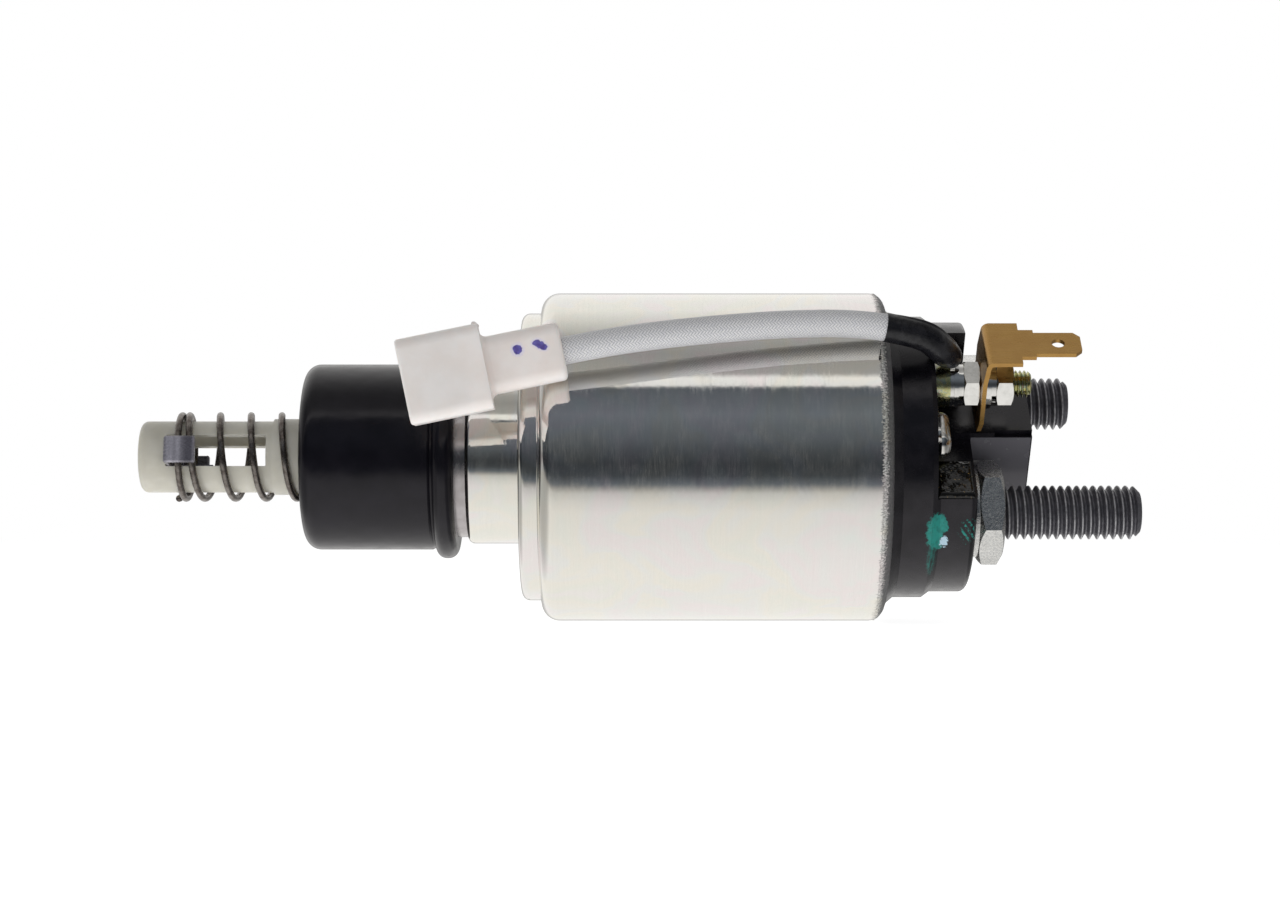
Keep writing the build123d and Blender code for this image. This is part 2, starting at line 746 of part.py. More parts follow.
# Signal stud and the stack on it
save(turned("signal_stud", [
    (chamber_end - signal_head_thickness, 0), (chamber_end - signal_head_thickness, signal_head_radius),
    (chamber_end, signal_head_radius), (chamber_end, signal_radius),
    (signal_stud_end - signal_chamfer, signal_radius), (signal_stud_end, signal_radius - signal_chamfer),
    (signal_stud_end, 0)], signal_place))
collar_start = cap_floor + strap_thickness
lug_start = collar_start + signal_collar_thickness
first_washer = lug_start + lug_thickness
first_lock = first_washer + first_washer_thickness
first_nut = first_lock + lock_washer_thickness
blade_start = first_nut + signal_first_nut_height
second_washer = blade_start + blade_thickness
second_lock = second_washer + second_washer_thickness
second_nut = second_lock + lock_washer_thickness
save(tube("signal_collar", collar_start, lug_start, signal_hole_radius, signal_collar_radius, signal_place))

with BuildPart() as signal_washers:
    for start, thickness in ((first_washer, first_washer_thickness),
                             (second_washer, second_washer_thickness)):
        with BuildSketch(across(start)):
            with Locations(signal_place):
                Circle(signal_washer_radius)
                Circle(signal_hole_radius, mode=Mode.SUBTRACT)
        extrude(amount=thickness)
signal_washers.part.label = "signal_washers"
save(signal_washers)

with BuildPart() as signal_lock_washers:
    for start in (first_lock, second_lock):
        with BuildSketch(across(start)):
            with Locations(signal_place):
                Circle(lock_washer_radius)
                Circle(signal_hole_radius, mode=Mode.SUBTRACT)
            with Locations((signal_row - lock_washer_radius, signal_height)):
                Rectangle(2 * lock_washer_radius, lock_washer_slit, mode=Mode.SUBTRACT)
        extrude(amount=lock_washer_thickness)
signal_lock_washers.part.label = "signal_lock_washers"
save(signal_lock_washers)

save(hex_nuts("signal_inner_nut", [first_nut], signal_first_nut_height, signal_nut_flats,
              signal_hole_radius, [signal_place], signal_nut_turn))
save(hex_nuts("signal_outer_nut", [second_nut], signal_second_nut_height, signal_nut_flats,
              signal_hole_radius, [signal_place], signal_nut_turn))

# Winding strap and solder dome
strap_run = Vector(signal_row - dome_row, signal_height - dome_height)
strap_turn = math.degrees(math.atan2(strap_run.Y, strap_run.X))
with BuildPart() as winding_strap:
    with BuildSketch(across(cap_floor)):
        with Locations(((signal_row + dome_row) / 2, (signal_height + dome_height) / 2)):
            SlotCenterToCenter(strap_run.length, strap_width, rotation=strap_turn)
        with Locations(signal_place):
            Circle(strap_eye_radius)
            Circle(signal_hole_radius, mode=Mode.SUBTRACT)
        with Locations((dome_row, dome_height)):
            Circle(pin_radius + seat_gap, mode=Mode.SUBTRACT)
    extrude(amount=strap_thickness)
winding_strap.part.label = "winding_strap"
save(winding_strap)
with BuildPart() as solder_dome:
    with BuildSketch(across(collar_start)):
        with Locations((dome_row, dome_height)):
            SlotCenterToCenter(dome_spread, 2 * dome_radius, rotation=strap_turn)
    extrude(amount=dome_rise)
    fillet(solder_dome.faces().sort_by(Axis.X)[-1].edges(), dome_round_share * dome_rise)
    with BuildSketch(across(chamber_end)):
        with Locations((dome_row, dome_height)):
            Circle(pin_radius)
    extrude(amount=collar_start - chamber_end)
solder_dome.part.label = "solder_dome"
save(solder_dome)

# Blade terminal, a strip bent over and cut to a 6.3 mm tab, leaning a little above and below its nut
blade_side = Plane(origin=centre_of((signal_row, 0)), x_dir=(1, 0, 0), z_dir=-stud_row)
blade_top = Plane(origin=centre_of((signal_row, 0)), x_dir=(1, 0, 0), z_dir=across(0).y_dir)
blade_low = signal_height - blade_foot
blade_toe = blade_start - blade_foot_lean
blade_corner = blade_start + blade_lean
blade_wide_end = blade_corner + blade_wide_length
blade_step_end = blade_wide_end + blade_step_length
tab_end = blade_step_end + tab_length
clamp_low = signal_height - signal_washer_radius
clamp_high = signal_height + signal_washer_radius
inner_bend = (blade_corner + blade_thickness, blade_bend - blade_thickness)
with BuildPart() as blade_terminal:
    with BuildSketch(blade_side) as strip_side:
        with BuildLine():
            Polyline((blade_toe, blade_low), (blade_start, clamp_low), (blade_start, clamp_high),
                     (blade_corner, blade_bend), (tab_end, blade_bend),
                     (tab_end, blade_bend - blade_thickness), inner_bend, (second_washer, clamp_high),
                     (second_washer, clamp_low), (blade_toe + blade_thickness, blade_low), close=True)
        make_face()
        fillet(strip_side.vertices().sort_by_distance((blade_corner, blade_bend))[0], blade_bend_radius)
        fillet(strip_side.vertices().sort_by_distance(inner_bend)[0], blade_bend_radius - blade_thickness)
    extrude(amount=blade_width / 2, both=True)
    with BuildSketch(blade_top):
        with BuildLine():
            Polyline((blade_toe, 0), (blade_toe, blade_width / 2), (blade_wide_end, blade_width / 2),
                     (blade_wide_end, blade_step_width / 2), (blade_step_end, blade_step_width / 2),
                     (blade_step_end, tab_width / 2), (tab_end - tab_chamfer, tab_width / 2),
                     (tab_end, tab_width / 2 - tab_chamfer), (tab_end, 0), close=True)
        make_face()
        mirror(about=Plane.XZ)
    extrude(amount=blade_bend, mode=Mode.INTERSECT)
    with BuildSketch(blade_top):
        with Locations((tab_end - tab_hole_setback, 0)):
            Circle(tab_hole_radius)
    extrude(amount=blade_bend, mode=Mode.SUBTRACT)
    with BuildSketch(across(blade_start)):
        with Locations(signal_place):
            Circle(signal_hole_radius)
    extrude(amount=blade_thickness, mode=Mode.SUBTRACT)
blade_terminal.part.label = "blade_terminal"
save(blade_terminal)


def corner_radii(points):
    """One radius for each corner: a share of the shorter run, over the tangent of half the turn."""
    radii = []
    for before, corner, after in zip(points, points[1:], points[2:]):
        run_in = Vector(corner) - Vector(before)
        run_out = Vector(after) - Vector(corner)
        half_turn = math.radians(run_in.get_angle(run_out)) / 2
        radii.append(arc_share * min(run_in.length, run_out.length) / math.tan(half_turn))
    return radii


def cord(label, points, diameter):
    """Round cord along straight runs joined by tangent arcs."""
    radii = corner_radii(points)
    print(label, "radii", [round(radius, 1) for radius in radii])
    with BuildPart() as piece:
        with BuildLine() as route:
            FilletPolyline(*points, radius=radii)
        start_run = Vector(points[1]) - Vector(points[0])
        with BuildSketch(Plane(origin=points[0], z_dir=start_run)):
            Circle(diameter / 2)
        sweep(path=route.line)
    print(label, "length", round(sum(edge.length for edge in route.line.edges()), 2),
          "volume over section", round(piece.part.volume / (math.pi * diameter ** 2 / 4), 2))
    piece.part.label = label
    return piece


# Ring terminal, heat-shrink sleeve and lead
bend_in = Vector(lead_route[1])
bend_out = Vector(lead_route[2])
shrink_end = bend_in + (bend_out - bend_in) * shrink_share
tongue_reach = lug_reach - signal_height
with BuildPart() as ring_terminal:
    with BuildSketch(across(lug_start)):
        with Locations(signal_place):
            Circle(lug_radius)
        with Locations((signal_row, signal_height + tongue_reach / 2)):
            Rectangle(2 * lug_barrel_radius, tongue_reach)
        with Locations(signal_place):
            Circle(signal_hole_radius, mode=Mode.SUBTRACT)
    extrude(amount=lug_thickness)
ring_terminal.part.label = "ring_terminal"
save(ring_terminal)
save(cord("heat_shrink", [lead_start, *lead_route[:2], tuple(shrink_end)], shrink_diameter))
save(cord("lead", [tuple(shrink_end), *lead_route[2:]], lead_diameter))

# Connector housing with its blade
lead_end = Vector(lead_route[-1])
connector_axis = (lead_end - Vector(lead_route[-2])).normalized()


def along_connector(distance):
    """Plane across the connector, its own X towards the front and its own Y up."""
    return Plane(origin=lead_end, x_dir=(0, -1, 0), z_dir=connector_axis).offset(distance)


def in_neck_box(edge):
    """Whether an edge lies across the neck box's front end, on its outline."""
    place = along_connector(neck_box_length).to_local_coords(edge.center())
    return (abs(place.Z) < seat_gap and abs(place.X) < neck_box_depth / 2 + seat_gap
            and abs(place.Y) < neck_box_height / 2 + seat_gap)


connector_end = neck_box_length + shroud_length
with BuildPart() as connector_housing:
    with BuildSketch(along_connector(0)):
        RectangleRounded(neck_box_depth, neck_box_height, neck_box_round)
    extrude(amount=neck_box_length)
    with BuildSketch(along_connector(neck_box_length)):
        RectangleRounded(shroud_depth, shroud_height, shroud_round)
    extrude(amount=shroud_length)
    fillet(connector_housing.edges().filter_by(in_neck_box), shroud_fillet)
    end_faces = connector_housing.faces().sort_by(Axis(lead_end, connector_axis))
    fillet(end_faces[-1].edges(), shroud_edge)
    end_faces = connector_housing.faces().sort_by(Axis(lead_end, connector_axis))
    fillet(end_faces[0].edges(), neck_box_end_round)
    # rib along the shroud's rear top edge
    with BuildSketch(Plane(origin=lead_end, x_dir=connector_axis, z_dir=(0, 1, 0))):
        with Locations((neck_box_length + shroud_rib, shroud_height / 2)):
            Circle(shroud_rib)
    extrude(amount=shroud_depth / 2 - shroud_round, both=True)
    with BuildSketch(along_connector(connector_end - shroud_cavity)):
        RectangleRounded(shroud_depth - 2 * shroud_wall, shroud_height - 2 * shroud_wall, shroud_round / 2)
    extrude(amount=shroud_cavity, mode=Mode.SUBTRACT)
connector_housing.part.label = "connector_housing"
save(connector_housing)
with BuildPart() as connector_blade:
    with BuildSketch(along_connector(connector_end - shroud_cavity)):
        Rectangle(pin_blade_thickness, pin_blade_width)
    extrude(amount=pin_blade_length)
    tip = connector_blade.faces().sort_by(Axis(lead_end, connector_axis))[-1]
    chamfer(tip.edges().sort_by(SortBy.LENGTH)[-2:], pin_blade_chamfer)
connector_blade.part.label = "connector_blade"
save(connector_blade)
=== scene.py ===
import json
import math

import bpy
import numpy as np
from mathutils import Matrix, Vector, noise


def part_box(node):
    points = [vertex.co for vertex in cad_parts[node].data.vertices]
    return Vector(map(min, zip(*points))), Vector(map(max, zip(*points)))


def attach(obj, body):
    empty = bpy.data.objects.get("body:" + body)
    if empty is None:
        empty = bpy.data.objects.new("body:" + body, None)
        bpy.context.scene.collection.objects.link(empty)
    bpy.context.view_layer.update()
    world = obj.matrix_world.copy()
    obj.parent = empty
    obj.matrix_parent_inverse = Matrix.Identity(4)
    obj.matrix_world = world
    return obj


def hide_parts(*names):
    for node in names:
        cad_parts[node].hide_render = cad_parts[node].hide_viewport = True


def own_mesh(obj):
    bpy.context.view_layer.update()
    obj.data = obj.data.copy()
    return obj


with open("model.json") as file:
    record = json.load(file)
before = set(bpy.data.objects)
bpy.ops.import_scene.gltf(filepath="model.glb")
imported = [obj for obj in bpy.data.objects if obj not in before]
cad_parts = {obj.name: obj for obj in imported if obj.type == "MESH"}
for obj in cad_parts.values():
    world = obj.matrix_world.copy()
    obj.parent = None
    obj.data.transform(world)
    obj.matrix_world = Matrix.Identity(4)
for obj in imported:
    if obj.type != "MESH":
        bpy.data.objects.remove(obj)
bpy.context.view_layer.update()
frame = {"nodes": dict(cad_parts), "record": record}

# Sizes are in millimetres where no comment gives metres, and MM turns them to metres
MM = 0.001

# Camera, level with the axis
camera_distance = 523.0
camera_across = 22.2
camera_lens = 77.5
sensor_width = 36.0

# Lead route, the same points as the solid's
lead_diameter = 5.0
shrink_diameter = 5.2
shrink_share = 0.45
lead_start = (79.5, -16.4, 18.4)
lead_route = [(77.6, -21.1, 19.1), (73.4, -24.4, 22.3), (62.0, -25.2, 24.2), (49.0, -26.6, 24.0),
              (36.0, -28.4, 23.0), (24.5, -30.4, 21.7), (14.8, -31.8, 20.2), (8.5, -32.0, 18.9)]

# Terminal cap's turn about the axis, and places along and across its row of studs
cap_turn = math.radians(40.0)
signal_place = (-0.6, 18.2)
battery_place = (-16.0, 0.0)
motor_place = (16.0, 0.0)


def on_cap(row, height):
    """Y and Z of a point given along and across the row of studs."""
    return (row * math.cos(cap_turn) - height * math.sin(cap_turn),
            row * math.sin(cap_turn) + height * math.cos(cap_turn))


# Camera, floor and light

def make_camera():
    """Camera at the photograph's viewing angle."""
    data = bpy.data.cameras.new("camera")
    data.sensor_width = sensor_width
    data.lens = camera_lens
    camera = bpy.data.objects.new("camera", data)
    camera.location = (camera_across * MM, -camera_distance * MM, 0)
    camera.rotation_euler = (math.radians(90), 0, 0)
    bpy.context.scene.collection.objects.link(camera)
    bpy.context.scene.camera = camera


def plug(tree, socket, value):
    """Link or set one input of a node."""
    if isinstance(value, bpy.types.NodeSocket):
        tree.links.new(value, socket)
    elif value is not None:
        socket.default_value = value


def new_node(tree, kind, inputs=(), **settings):
    """Shader node with its settings, and its inputs linked or set in their order."""
    made = tree.nodes.new("ShaderNode" + kind)
    for name, value in settings.items():
        setattr(made, name, value)
    for socket, value in zip(made.inputs, inputs):
        plug(tree, socket, value)
    return made


def color_ramp(tree, value, stops):
    """Colour for a value from 0 to 1, from stops of place and colour."""
    made = new_node(tree, "ValToRGB", [value])
    elements = made.color_ramp.elements
    for index, (place, color) in enumerate(stops):
        stop = elements[index] if index < 2 else elements.new(place)
        stop.position = place
        stop.color = (*color, 1)
    return made.outputs[0]


# Brightness of the studio round the X axis: degrees up from the front, and the light there
room_tones = [(-180, 0.5), (-168, 0.6), (-160, 1.0), (-90, 0.97), (-68, 0.93), (-39, 0.84), (-31, 0.74),
              (-25, 0.6), (-22, 0.36), (-19, 0.15), (-13, 0.06), (-5, 0.046), (4, 0.075), (12, 0.115),
              (29, 0.17), (47.5, 0.115), (49, 0.125), (50.5, 0.9), (56.5, 0.95), (59.5, 0.38), (76, 0.31),
              (90, 0.38), (98, 0.56), (110, 0.76), (124, 0.94), (160, 1.0), (168, 0.6), (180, 0.5)]
dark_limit = 0.3
dark_tint = (0.86, 0.97, 1.12)
light_tint = (1.0, 0.99, 0.97)
# Share of that light for a ray that leans along X, from -1 to 1
side_tones = [(-1.0, 0.45), (-0.8, 0.6), (-0.6, 1.0), (0.3, 1.0), (0.45, 0.4), (0.7, 0.3), (1.0, 0.3)]


def make_room():
    """White room with a dark stretch in front, which the metal mirrors as a band."""
    scene = bpy.context.scene
    scene.view_settings.view_transform = "Standard"
    scene.world = bpy.data.worlds.new("studio")
    scene.world.use_nodes = True
    tree = scene.world.node_tree
    tree.nodes.clear()
    direction = new_node(tree, "TexCoord").outputs["Generated"]
    parts = new_node(tree, "SeparateXYZ", [direction]).outputs
    forward = new_node(tree, "Math", [parts["Y"], -1.0], operation="MULTIPLY").outputs[0]
    angle = new_node(tree, "Math", [parts["Z"], forward], operation="ARCTAN2").outputs[0]
    turn = new_node(tree, "MapRange", [angle, -math.pi, math.pi]).outputs[0]
    stops = []
    for degrees, tone in room_tones:
        tint = dark_tint if tone < dark_limit else light_tint
        stops.append(((degrees + 180) / 360, [tone * part for part in tint]))
    around = color_ramp(tree, turn, stops)
    lean = new_node(tree, "MapRange", [parts["X"], -1.0, 1.0]).outputs[0]
    aside = color_ramp(tree, lean, [((place + 1) / 2, (tone, tone, tone)) for place, tone in side_tones])
    light = new_node(tree, "VectorMath", [around, aside], operation="MULTIPLY").outputs[0]
    mirrored = new_node(tree, "Background", [light])
    seen = new_node(tree, "Background", [(1, 1, 1, 1)])
    direct = new_node(tree, "LightPath").outputs["Is Camera Ray"]
    mixed = new_node(tree, "MixShader", [direct, mirrored.outputs[0], seen.outputs[0]])
    new_node(tree, "OutputWorld", [mixed.outputs[0]])


# Floor. Its size and the distances over which it fades are in metres.
floor_height = -31.1
floor_size = 6.0
floor_near = 0.12
floor_far = 0.55
floor_albedo = 0.5
floor_glow = 0.93


def make_floor():
    """Pale floor that fades to the white of the room."""
    bpy.ops.mesh.primitive_plane_add(size=floor_size, location=(0, 0, floor_height * MM))
    floor = bpy.context.object
    floor.name = "floor"
    floor.visible_glossy = False
    material = bpy.data.materials.new("floor")
    material.use_nodes = True
    tree = material.node_tree
    tree.nodes.clear()
    place = new_node(tree, "TexCoord").outputs["Object"]
    distance = new_node(tree, "VectorMath", [place], operation="LENGTH").outputs["Value"]
    fade = new_node(tree, "MapRange", [distance, floor_near, floor_far], interpolation_type="SMOOTHSTEP")
    diffuse = new_node(tree, "BsdfDiffuse", [(floor_albedo, floor_albedo, floor_albedo, 1)])
    glow = new_node(tree, "Emission", [None, floor_glow])
    both = new_node(tree, "AddShader", [diffuse.outputs[0], glow.outputs[0]])
    white = new_node(tree, "Emission")
    mixed = new_node(tree, "MixShader", [fade.outputs[0], both.outputs[0], white.outputs[0]])
    new_node(tree, "OutputMaterial", [mixed.outputs[0]])
    floor.data.materials.append(material)


# Fill light, in metres and watts
fill_place = (0.02, -1.0, 0.75)
fill_size = 1.4
fill_power = 2.6


def make_fill():
    """Soft light from in front and above, which the metal doesn't mirror."""
    data = bpy.data.lights.new("fill", "AREA")
    data.size = fill_size
    data.energy = fill_power
    fill = bpy.data.objects.new("fill", data)
    fill.location = fill_place
    fill.rotation_euler = Vector(fill_place).to_track_quat("Z", "Y").to_euler()
    fill.visible_glossy = False
    bpy.context.scene.collection.objects.link(fill)


make_camera()
make_room()
make_floor()
make_fill()


# Materials. Coordinates are the frame's own, in millimetres.

# Ranges of a noise that are stretched to the full contrast
noise_low, noise_high = 0.3, 0.7
mottle_low, mottle_high = 0.32, 0.68


class Look:
    """A material under construction, with short names for the nodes that it needs.

    Painted patches take the place of the plain colour and roughness that it starts with.
    """

    def __init__(self, name, color, roughness, metallic=0.0, **sockets):
        self.material = bpy.data.materials.new(name)
        self.material.use_nodes = True
        self.tree = self.material.node_tree
        self.shader = self.tree.nodes["Principled BSDF"]
        self.shader.inputs["Base Color"].default_value = (*color, 1)
        self.shader.inputs["Roughness"].default_value = roughness
        self.shader.inputs["Metallic"].default_value = metallic
        for socket, value in sockets.items():
            self.shader.inputs[socket.replace("_", " ")].default_value = value
        place = self.node("TexCoord").outputs["Object"]
        scaled = self.node("VectorMath", operation="SCALE")
        plug(self.tree, scaled.inputs[0], place)
        scaled.inputs["Scale"].default_value = 1 / MM
        self.place = scaled.outputs[0]
        self.relief = None

    def node(self, kind, inputs=(), **settings):
        return new_node(self.tree, kind, inputs, **settings)

    def math(self, operation, *values):
        return self.node("Math", values, operation=operation).outputs[0]

    def vector(self, operation, *values):
        made = self.node("VectorMath", values, operation=operation)
        gives_number = operation in ("LENGTH", "DOT_PRODUCT")
        return made.outputs["Value" if gives_number else "Vector"]

    def stretched(self, scale):
        """The place, scaled by its own factor along each axis."""
        return self.vector("MULTIPLY", self.place, scale)

    def parts(self, vector=None):
        """X, Y and Z of a vector, or of the place."""
        return self.node("SeparateXYZ", [vector or self.place]).outputs

    def noise(self, scale, detail=3.0, rough=0.5, distortion=0.0, place=None):
        """Noise from 0 to 1, with its scale in waves per millimetre."""
        made = self.node("TexNoise")
        values = {"Vector": place or self.place, "Scale": scale, "Detail": detail, "Roughness": rough,
                  "Distortion": distortion}
        for socket, value in values.items():
            plug(self.tree, made.inputs[socket], value)
        return made.outputs["Fac"]

    def span(self, value, low, high, to_low=0.0, to_high=1.0):
        """Map low to high smoothly onto to_low to to_high, held at both ends."""
        made = self.node("MapRange", [value, low, high, to_low, to_high], interpolation_type="SMOOTHSTEP")
        return made.outputs[0]

    def spread(self, value, to_low=0.0, to_high=1.0):
        """Map the middle of a noise's range onto to_low to to_high."""
        return self.span(value, noise_low, noise_high, to_low, to_high)

    def inside(self, value, limit, edge):
        """1 below a limit, 0 above it, over a soft edge."""
        return self.span(value, limit, limit + edge, 1.0, 0.0)

    def ramp(self, value, stops):
        return color_ramp(self.tree, value, stops)

    def mix(self, share, first, second, blend="MIX"):
        """Colour between two colours, each a socket or a plain colour."""
        made = self.node("Mix", [share], data_type="RGBA", blend_type=blend)
        colors = [socket for socket in made.inputs if socket.type == "RGBA"]
        for socket, value in zip(colors, (first, second)):
            plain = not isinstance(value, bpy.types.NodeSocket)
            plug(self.tree, socket, (*value, 1) if plain else value)
        return next(socket for socket in made.outputs if socket.type == "RGBA")

    def paint(self, color):
        plug(self.tree, self.shader.inputs["Base Color"], color)

    def rough(self, value):
        plug(self.tree, self.shader.inputs["Roughness"], value)

    def metal(self, value):
        plug(self.tree, self.shader.inputs["Metallic"], value)

    def bump(self, height, depth):
        """Relief of the given depth in millimetres. Calls add up."""
        made = self.node("Bump")
        made.inputs["Distance"].default_value = depth * MM
        plug(self.tree, made.inputs["Height"], height)
        plug(self.tree, made.inputs["Normal"], self.relief)
        self.relief = made.outputs[0]
        plug(self.tree, self.shader.inputs["Normal"], self.relief)

    def spot(self, centre, size, edge=0.1, ragged=0.0, grain=2.2):
        """1 inside an ellipsoid about a point, 0 outside, with a ragged edge."""
        away = self.vector("SUBTRACT", self.place, centre)
        distance = self.vector("LENGTH", self.vector("DIVIDE", away, size))
        if ragged:
            wobble = self.spread(self.noise(grain, 4.0), -ragged, ragged)
            distance = self.math("ADD", distance, wobble)
        return self.span(distance, 1 - edge, 1 + edge, 1.0, 0.0)

    def from_stud(self, place):
        """Distance from the line along X through a place on the cap."""
        y, z = on_cap(*place)
        away = self.vector("SUBTRACT", self.place, (0, y, z))
        return self.vector("LENGTH", self.vector("MULTIPLY", away, (0, 1, 1)))

    def from_main_studs(self):
        """Distance from the nearer main stud's axis."""
        return self.math("MINIMUM", self.from_stud(battery_place), self.from_stud(motor_place))

    def mottle(self, dark, light, scale):
        """Paint between two colours in soft patches."""
        patches = self.span(self.noise(scale, 4.0), mottle_low, mottle_high)
        self.paint(self.mix(patches, dark, light))


# Passivate film's colours, by place in a soft noise
film_colors = [(0.3, (0.83, 0.79, 0.78)), (0.4, (0.80, 0.80, 0.735)), (0.47, (0.83, 0.80, 0.73)),
               (0.53, (0.80, 0.80, 0.77)), (0.6, (0.83, 0.775, 0.765)), (0.7, (0.79, 0.81, 0.78))]
# Where along X the peened crimp and the painted shade on its back corner begin, and how far their edges
# wander
crimp_from = 65.75
corner_shade_from = 66.35
crimp_wander = 3.0
# Share of the metal that scatters light instead of mirroring it
film_dull = 0.055
burr_dull = 0.45


def zinc_plate():
    """Bright zinc: fine turned rings, a faint rainbow of the passivate, a peened crimp, and painted shade
    on the crimp's back corner.
    """
    look = Look("zinc_plate", (0.8, 0.785, 0.75), 0.08, 1.0)
    rings = look.noise(1.0, 3.0, 0.6, place=look.stretched((2.6, 0.04, 0.04)))
    patches = look.noise(1.0, 3.0, 0.5, 0.5, place=look.stretched((0.07, 0.07, 0.07)))
    film = look.ramp(patches, film_colors)
    shade = look.mix(look.spread(rings), (0.985, 0.985, 0.985), (1.005, 1.005, 1.005))
    color = look.mix(1.0, film, shade, "MULTIPLY")
    along = look.parts()["X"]
    scuffs = look.noise(1.3, 5.0, 0.7)
    teeth = look.noise(1.0, 4.0, 0.65, place=look.stretched((0.7, 3.4, 3.4)))
    ragged = look.math("MULTIPLY_ADD", look.math("SUBTRACT", teeth, 0.5), crimp_wander, along)
    crimp = look.span(ragged, crimp_from, crimp_from + 0.2)
    # Mask of the painted shade on the crimp's back corner, beside the cap
    corner = look.span(ragged, corner_shade_from, corner_shade_from + 0.4)
    grains = look.noise(1.0, 4.0, 0.7, place=look.stretched((1.6, 4.5, 4.5)))
    grit = look.span(grains, 0.4, 0.6, 0.4, 1.2)
    torn = look.mix(1.0, color, look.mix(grit, (0.0, 0.0, 0.0), (1.0, 1.0, 1.0)), "MULTIPLY")
    color = look.mix(crimp, color, torn)
    # Painted shade: the crimp's back corner is darkened nearly to black
    color = look.mix(look.math("MULTIPLY", corner, 0.86), color, (0.1, 0.1, 0.105))
    dust = look.noise(1.6, 3.0, 0.6)
    look.paint(look.mix(look.span(dust, 0.8, 0.86, 0.0, 0.4), color, (0.3, 0.29, 0.28)))
    soft = look.span(look.noise(0.28, 4.0, 0.65), 0.35, 0.65)
    haze = look.math("MULTIPLY", soft, look.span(rings, 0.35, 0.65))
    polish = look.math("MULTIPLY_ADD", haze, 0.1, 0.05)
    look.rough(look.math("MULTIPLY_ADD", crimp, look.span(scuffs, 0.35, 0.65, 0.3, 0.6), polish))
    drawn = look.noise(1.0, 3.0, 0.6, place=look.stretched((4.5, 0.35, 0.35)))
    clouds = look.noise(1.0, 3.0, 0.6, place=look.stretched((0.35, 0.2, 0.2)))
    cloudy = look.math("MULTIPLY", look.spread(drawn), look.span(clouds, 0.35, 0.65, 0.2, 1.0))
    filmed = look.math("MULTIPLY", cloudy, film_dull)
    dull = look.math("MAXIMUM", filmed, look.math("MULTIPLY", crimp, burr_dull))
    look.metal(look.math("SUBTRACT", 1.0, dull))
    look.bump(look.noise(1.0, 2.0, 0.5, place=look.stretched((0.5, 0.16, 0.16))), 0.03)
    look.bump(look.math("MULTIPLY", crimp, scuffs), 0.08)
    return look.material


def bare_steel():
    """Turned steel of the plunger and the plates."""
    look = Look("bare_steel", (0.5, 0.49, 0.48), 0.3, 1.0)
    rings = look.noise(1.0, 5.0, 0.6, place=look.stretched((6.0, 0.2, 0.2)))
    look.mottle((0.44, 0.43, 0.42), (0.56, 0.55, 0.54), 0.5)
    look.rough(look.spread(rings, 0.22, 0.4))
    look.bump(rings, 0.01)
    return look.material


def dull_steel():
    """Turned, unplated and a little brown."""
    look = Look("dull_steel", (0.4, 0.375, 0.37), 0.34, 1.0)
    grain = look.noise(1.0, 4.0, 0.6, place=look.stretched((0.7, 0.35, 0.35)))
    rings = look.noise(1.0, 3.0, 0.6, place=look.stretched((2.6, 0.1, 0.1)))
    look.mottle((0.4, 0.375, 0.375), (0.48, 0.455, 0.46), 0.4)
    look.rough(look.spread(grain, 0.18, 0.3))
    look.bump(rings, 0.006)
    look.bump(grain, 0.01)
    return look.material


# Distance from a main stud's axis within which its nut and washer lie
big_nut_reach = 11.0


def fastener_zinc():
    """Zinc plate, smooth on the small fasteners and coarse on the two big nuts."""
    look = Look("fastener_zinc", (0.7, 0.7, 0.68), 0.22, 1.0)
    coarse = look.math("LESS_THAN", look.from_main_studs(), big_nut_reach)
    pits = look.noise(2.4, 5.0, 0.75)
    shade = look.mix(look.span(look.noise(0.5, 3.0), 0.35, 0.65), (0.74, 0.735, 0.71), (0.84, 0.835, 0.81))
    pitted = look.math("MULTIPLY", coarse, look.span(pits, 0.4, 0.62, 0.6, 0.0))
    look.paint(look.mix(pitted, shade, (0.42, 0.43, 0.44)))
    look.rough(look.math("MULTIPLY_ADD", coarse, 0.14, look.spread(pits, 0.08, 0.16)))
    look.bump(look.math("MULTIPLY", coarse, pits), 0.1)
    look.bump(look.noise(1.2, 3.0), 0.01)
    return look.material


# Distances from a main stud's axis at which the painted highlight on the thread's crests begins and is
# full
lit_crest = (4.8, 4.98)


def stud_phosphate():
    """Dark phosphate, with a painted highlight along the thread's crests."""
    look = Look("stud_phosphate", (0.07, 0.07, 0.08), 0.45, 0.55)
    crest = look.span(look.from_main_studs(), *lit_crest)
    # Painted highlight: share of the crests that is lightened
    highlight_share = look.math("MULTIPLY", crest, look.span(look.noise(1.6, 3.0), 0.3, 0.6, 0.5, 1.0))
    base = look.mix(look.spread(look.noise(1.2, 4.0)), (0.085, 0.083, 0.096), (0.13, 0.127, 0.142))
    # Painted highlight: the crests turn light grey
    look.paint(look.mix(highlight_share, base, (0.42, 0.415, 0.43)))
    look.rough(look.span(highlight_share, 0.0, 1.0, 0.46, 0.34))
    look.bump(look.noise(3.0, 3.0), 0.015)
    return look.material


# Painted highlight stripes on the cross bar, in place of the light on its curled face: place along X, and
# how light it is painted there
bar_highlights = [(-66.8, 0.25), (-66.0, 0.62), (-65.2, 0.78), (-64.6, 0.55), (-64.0, 0.72), (-63.3, 0.35),
            (-62.4, 0.12), (-61.5, 0.12), (-61.05, 0.5)]


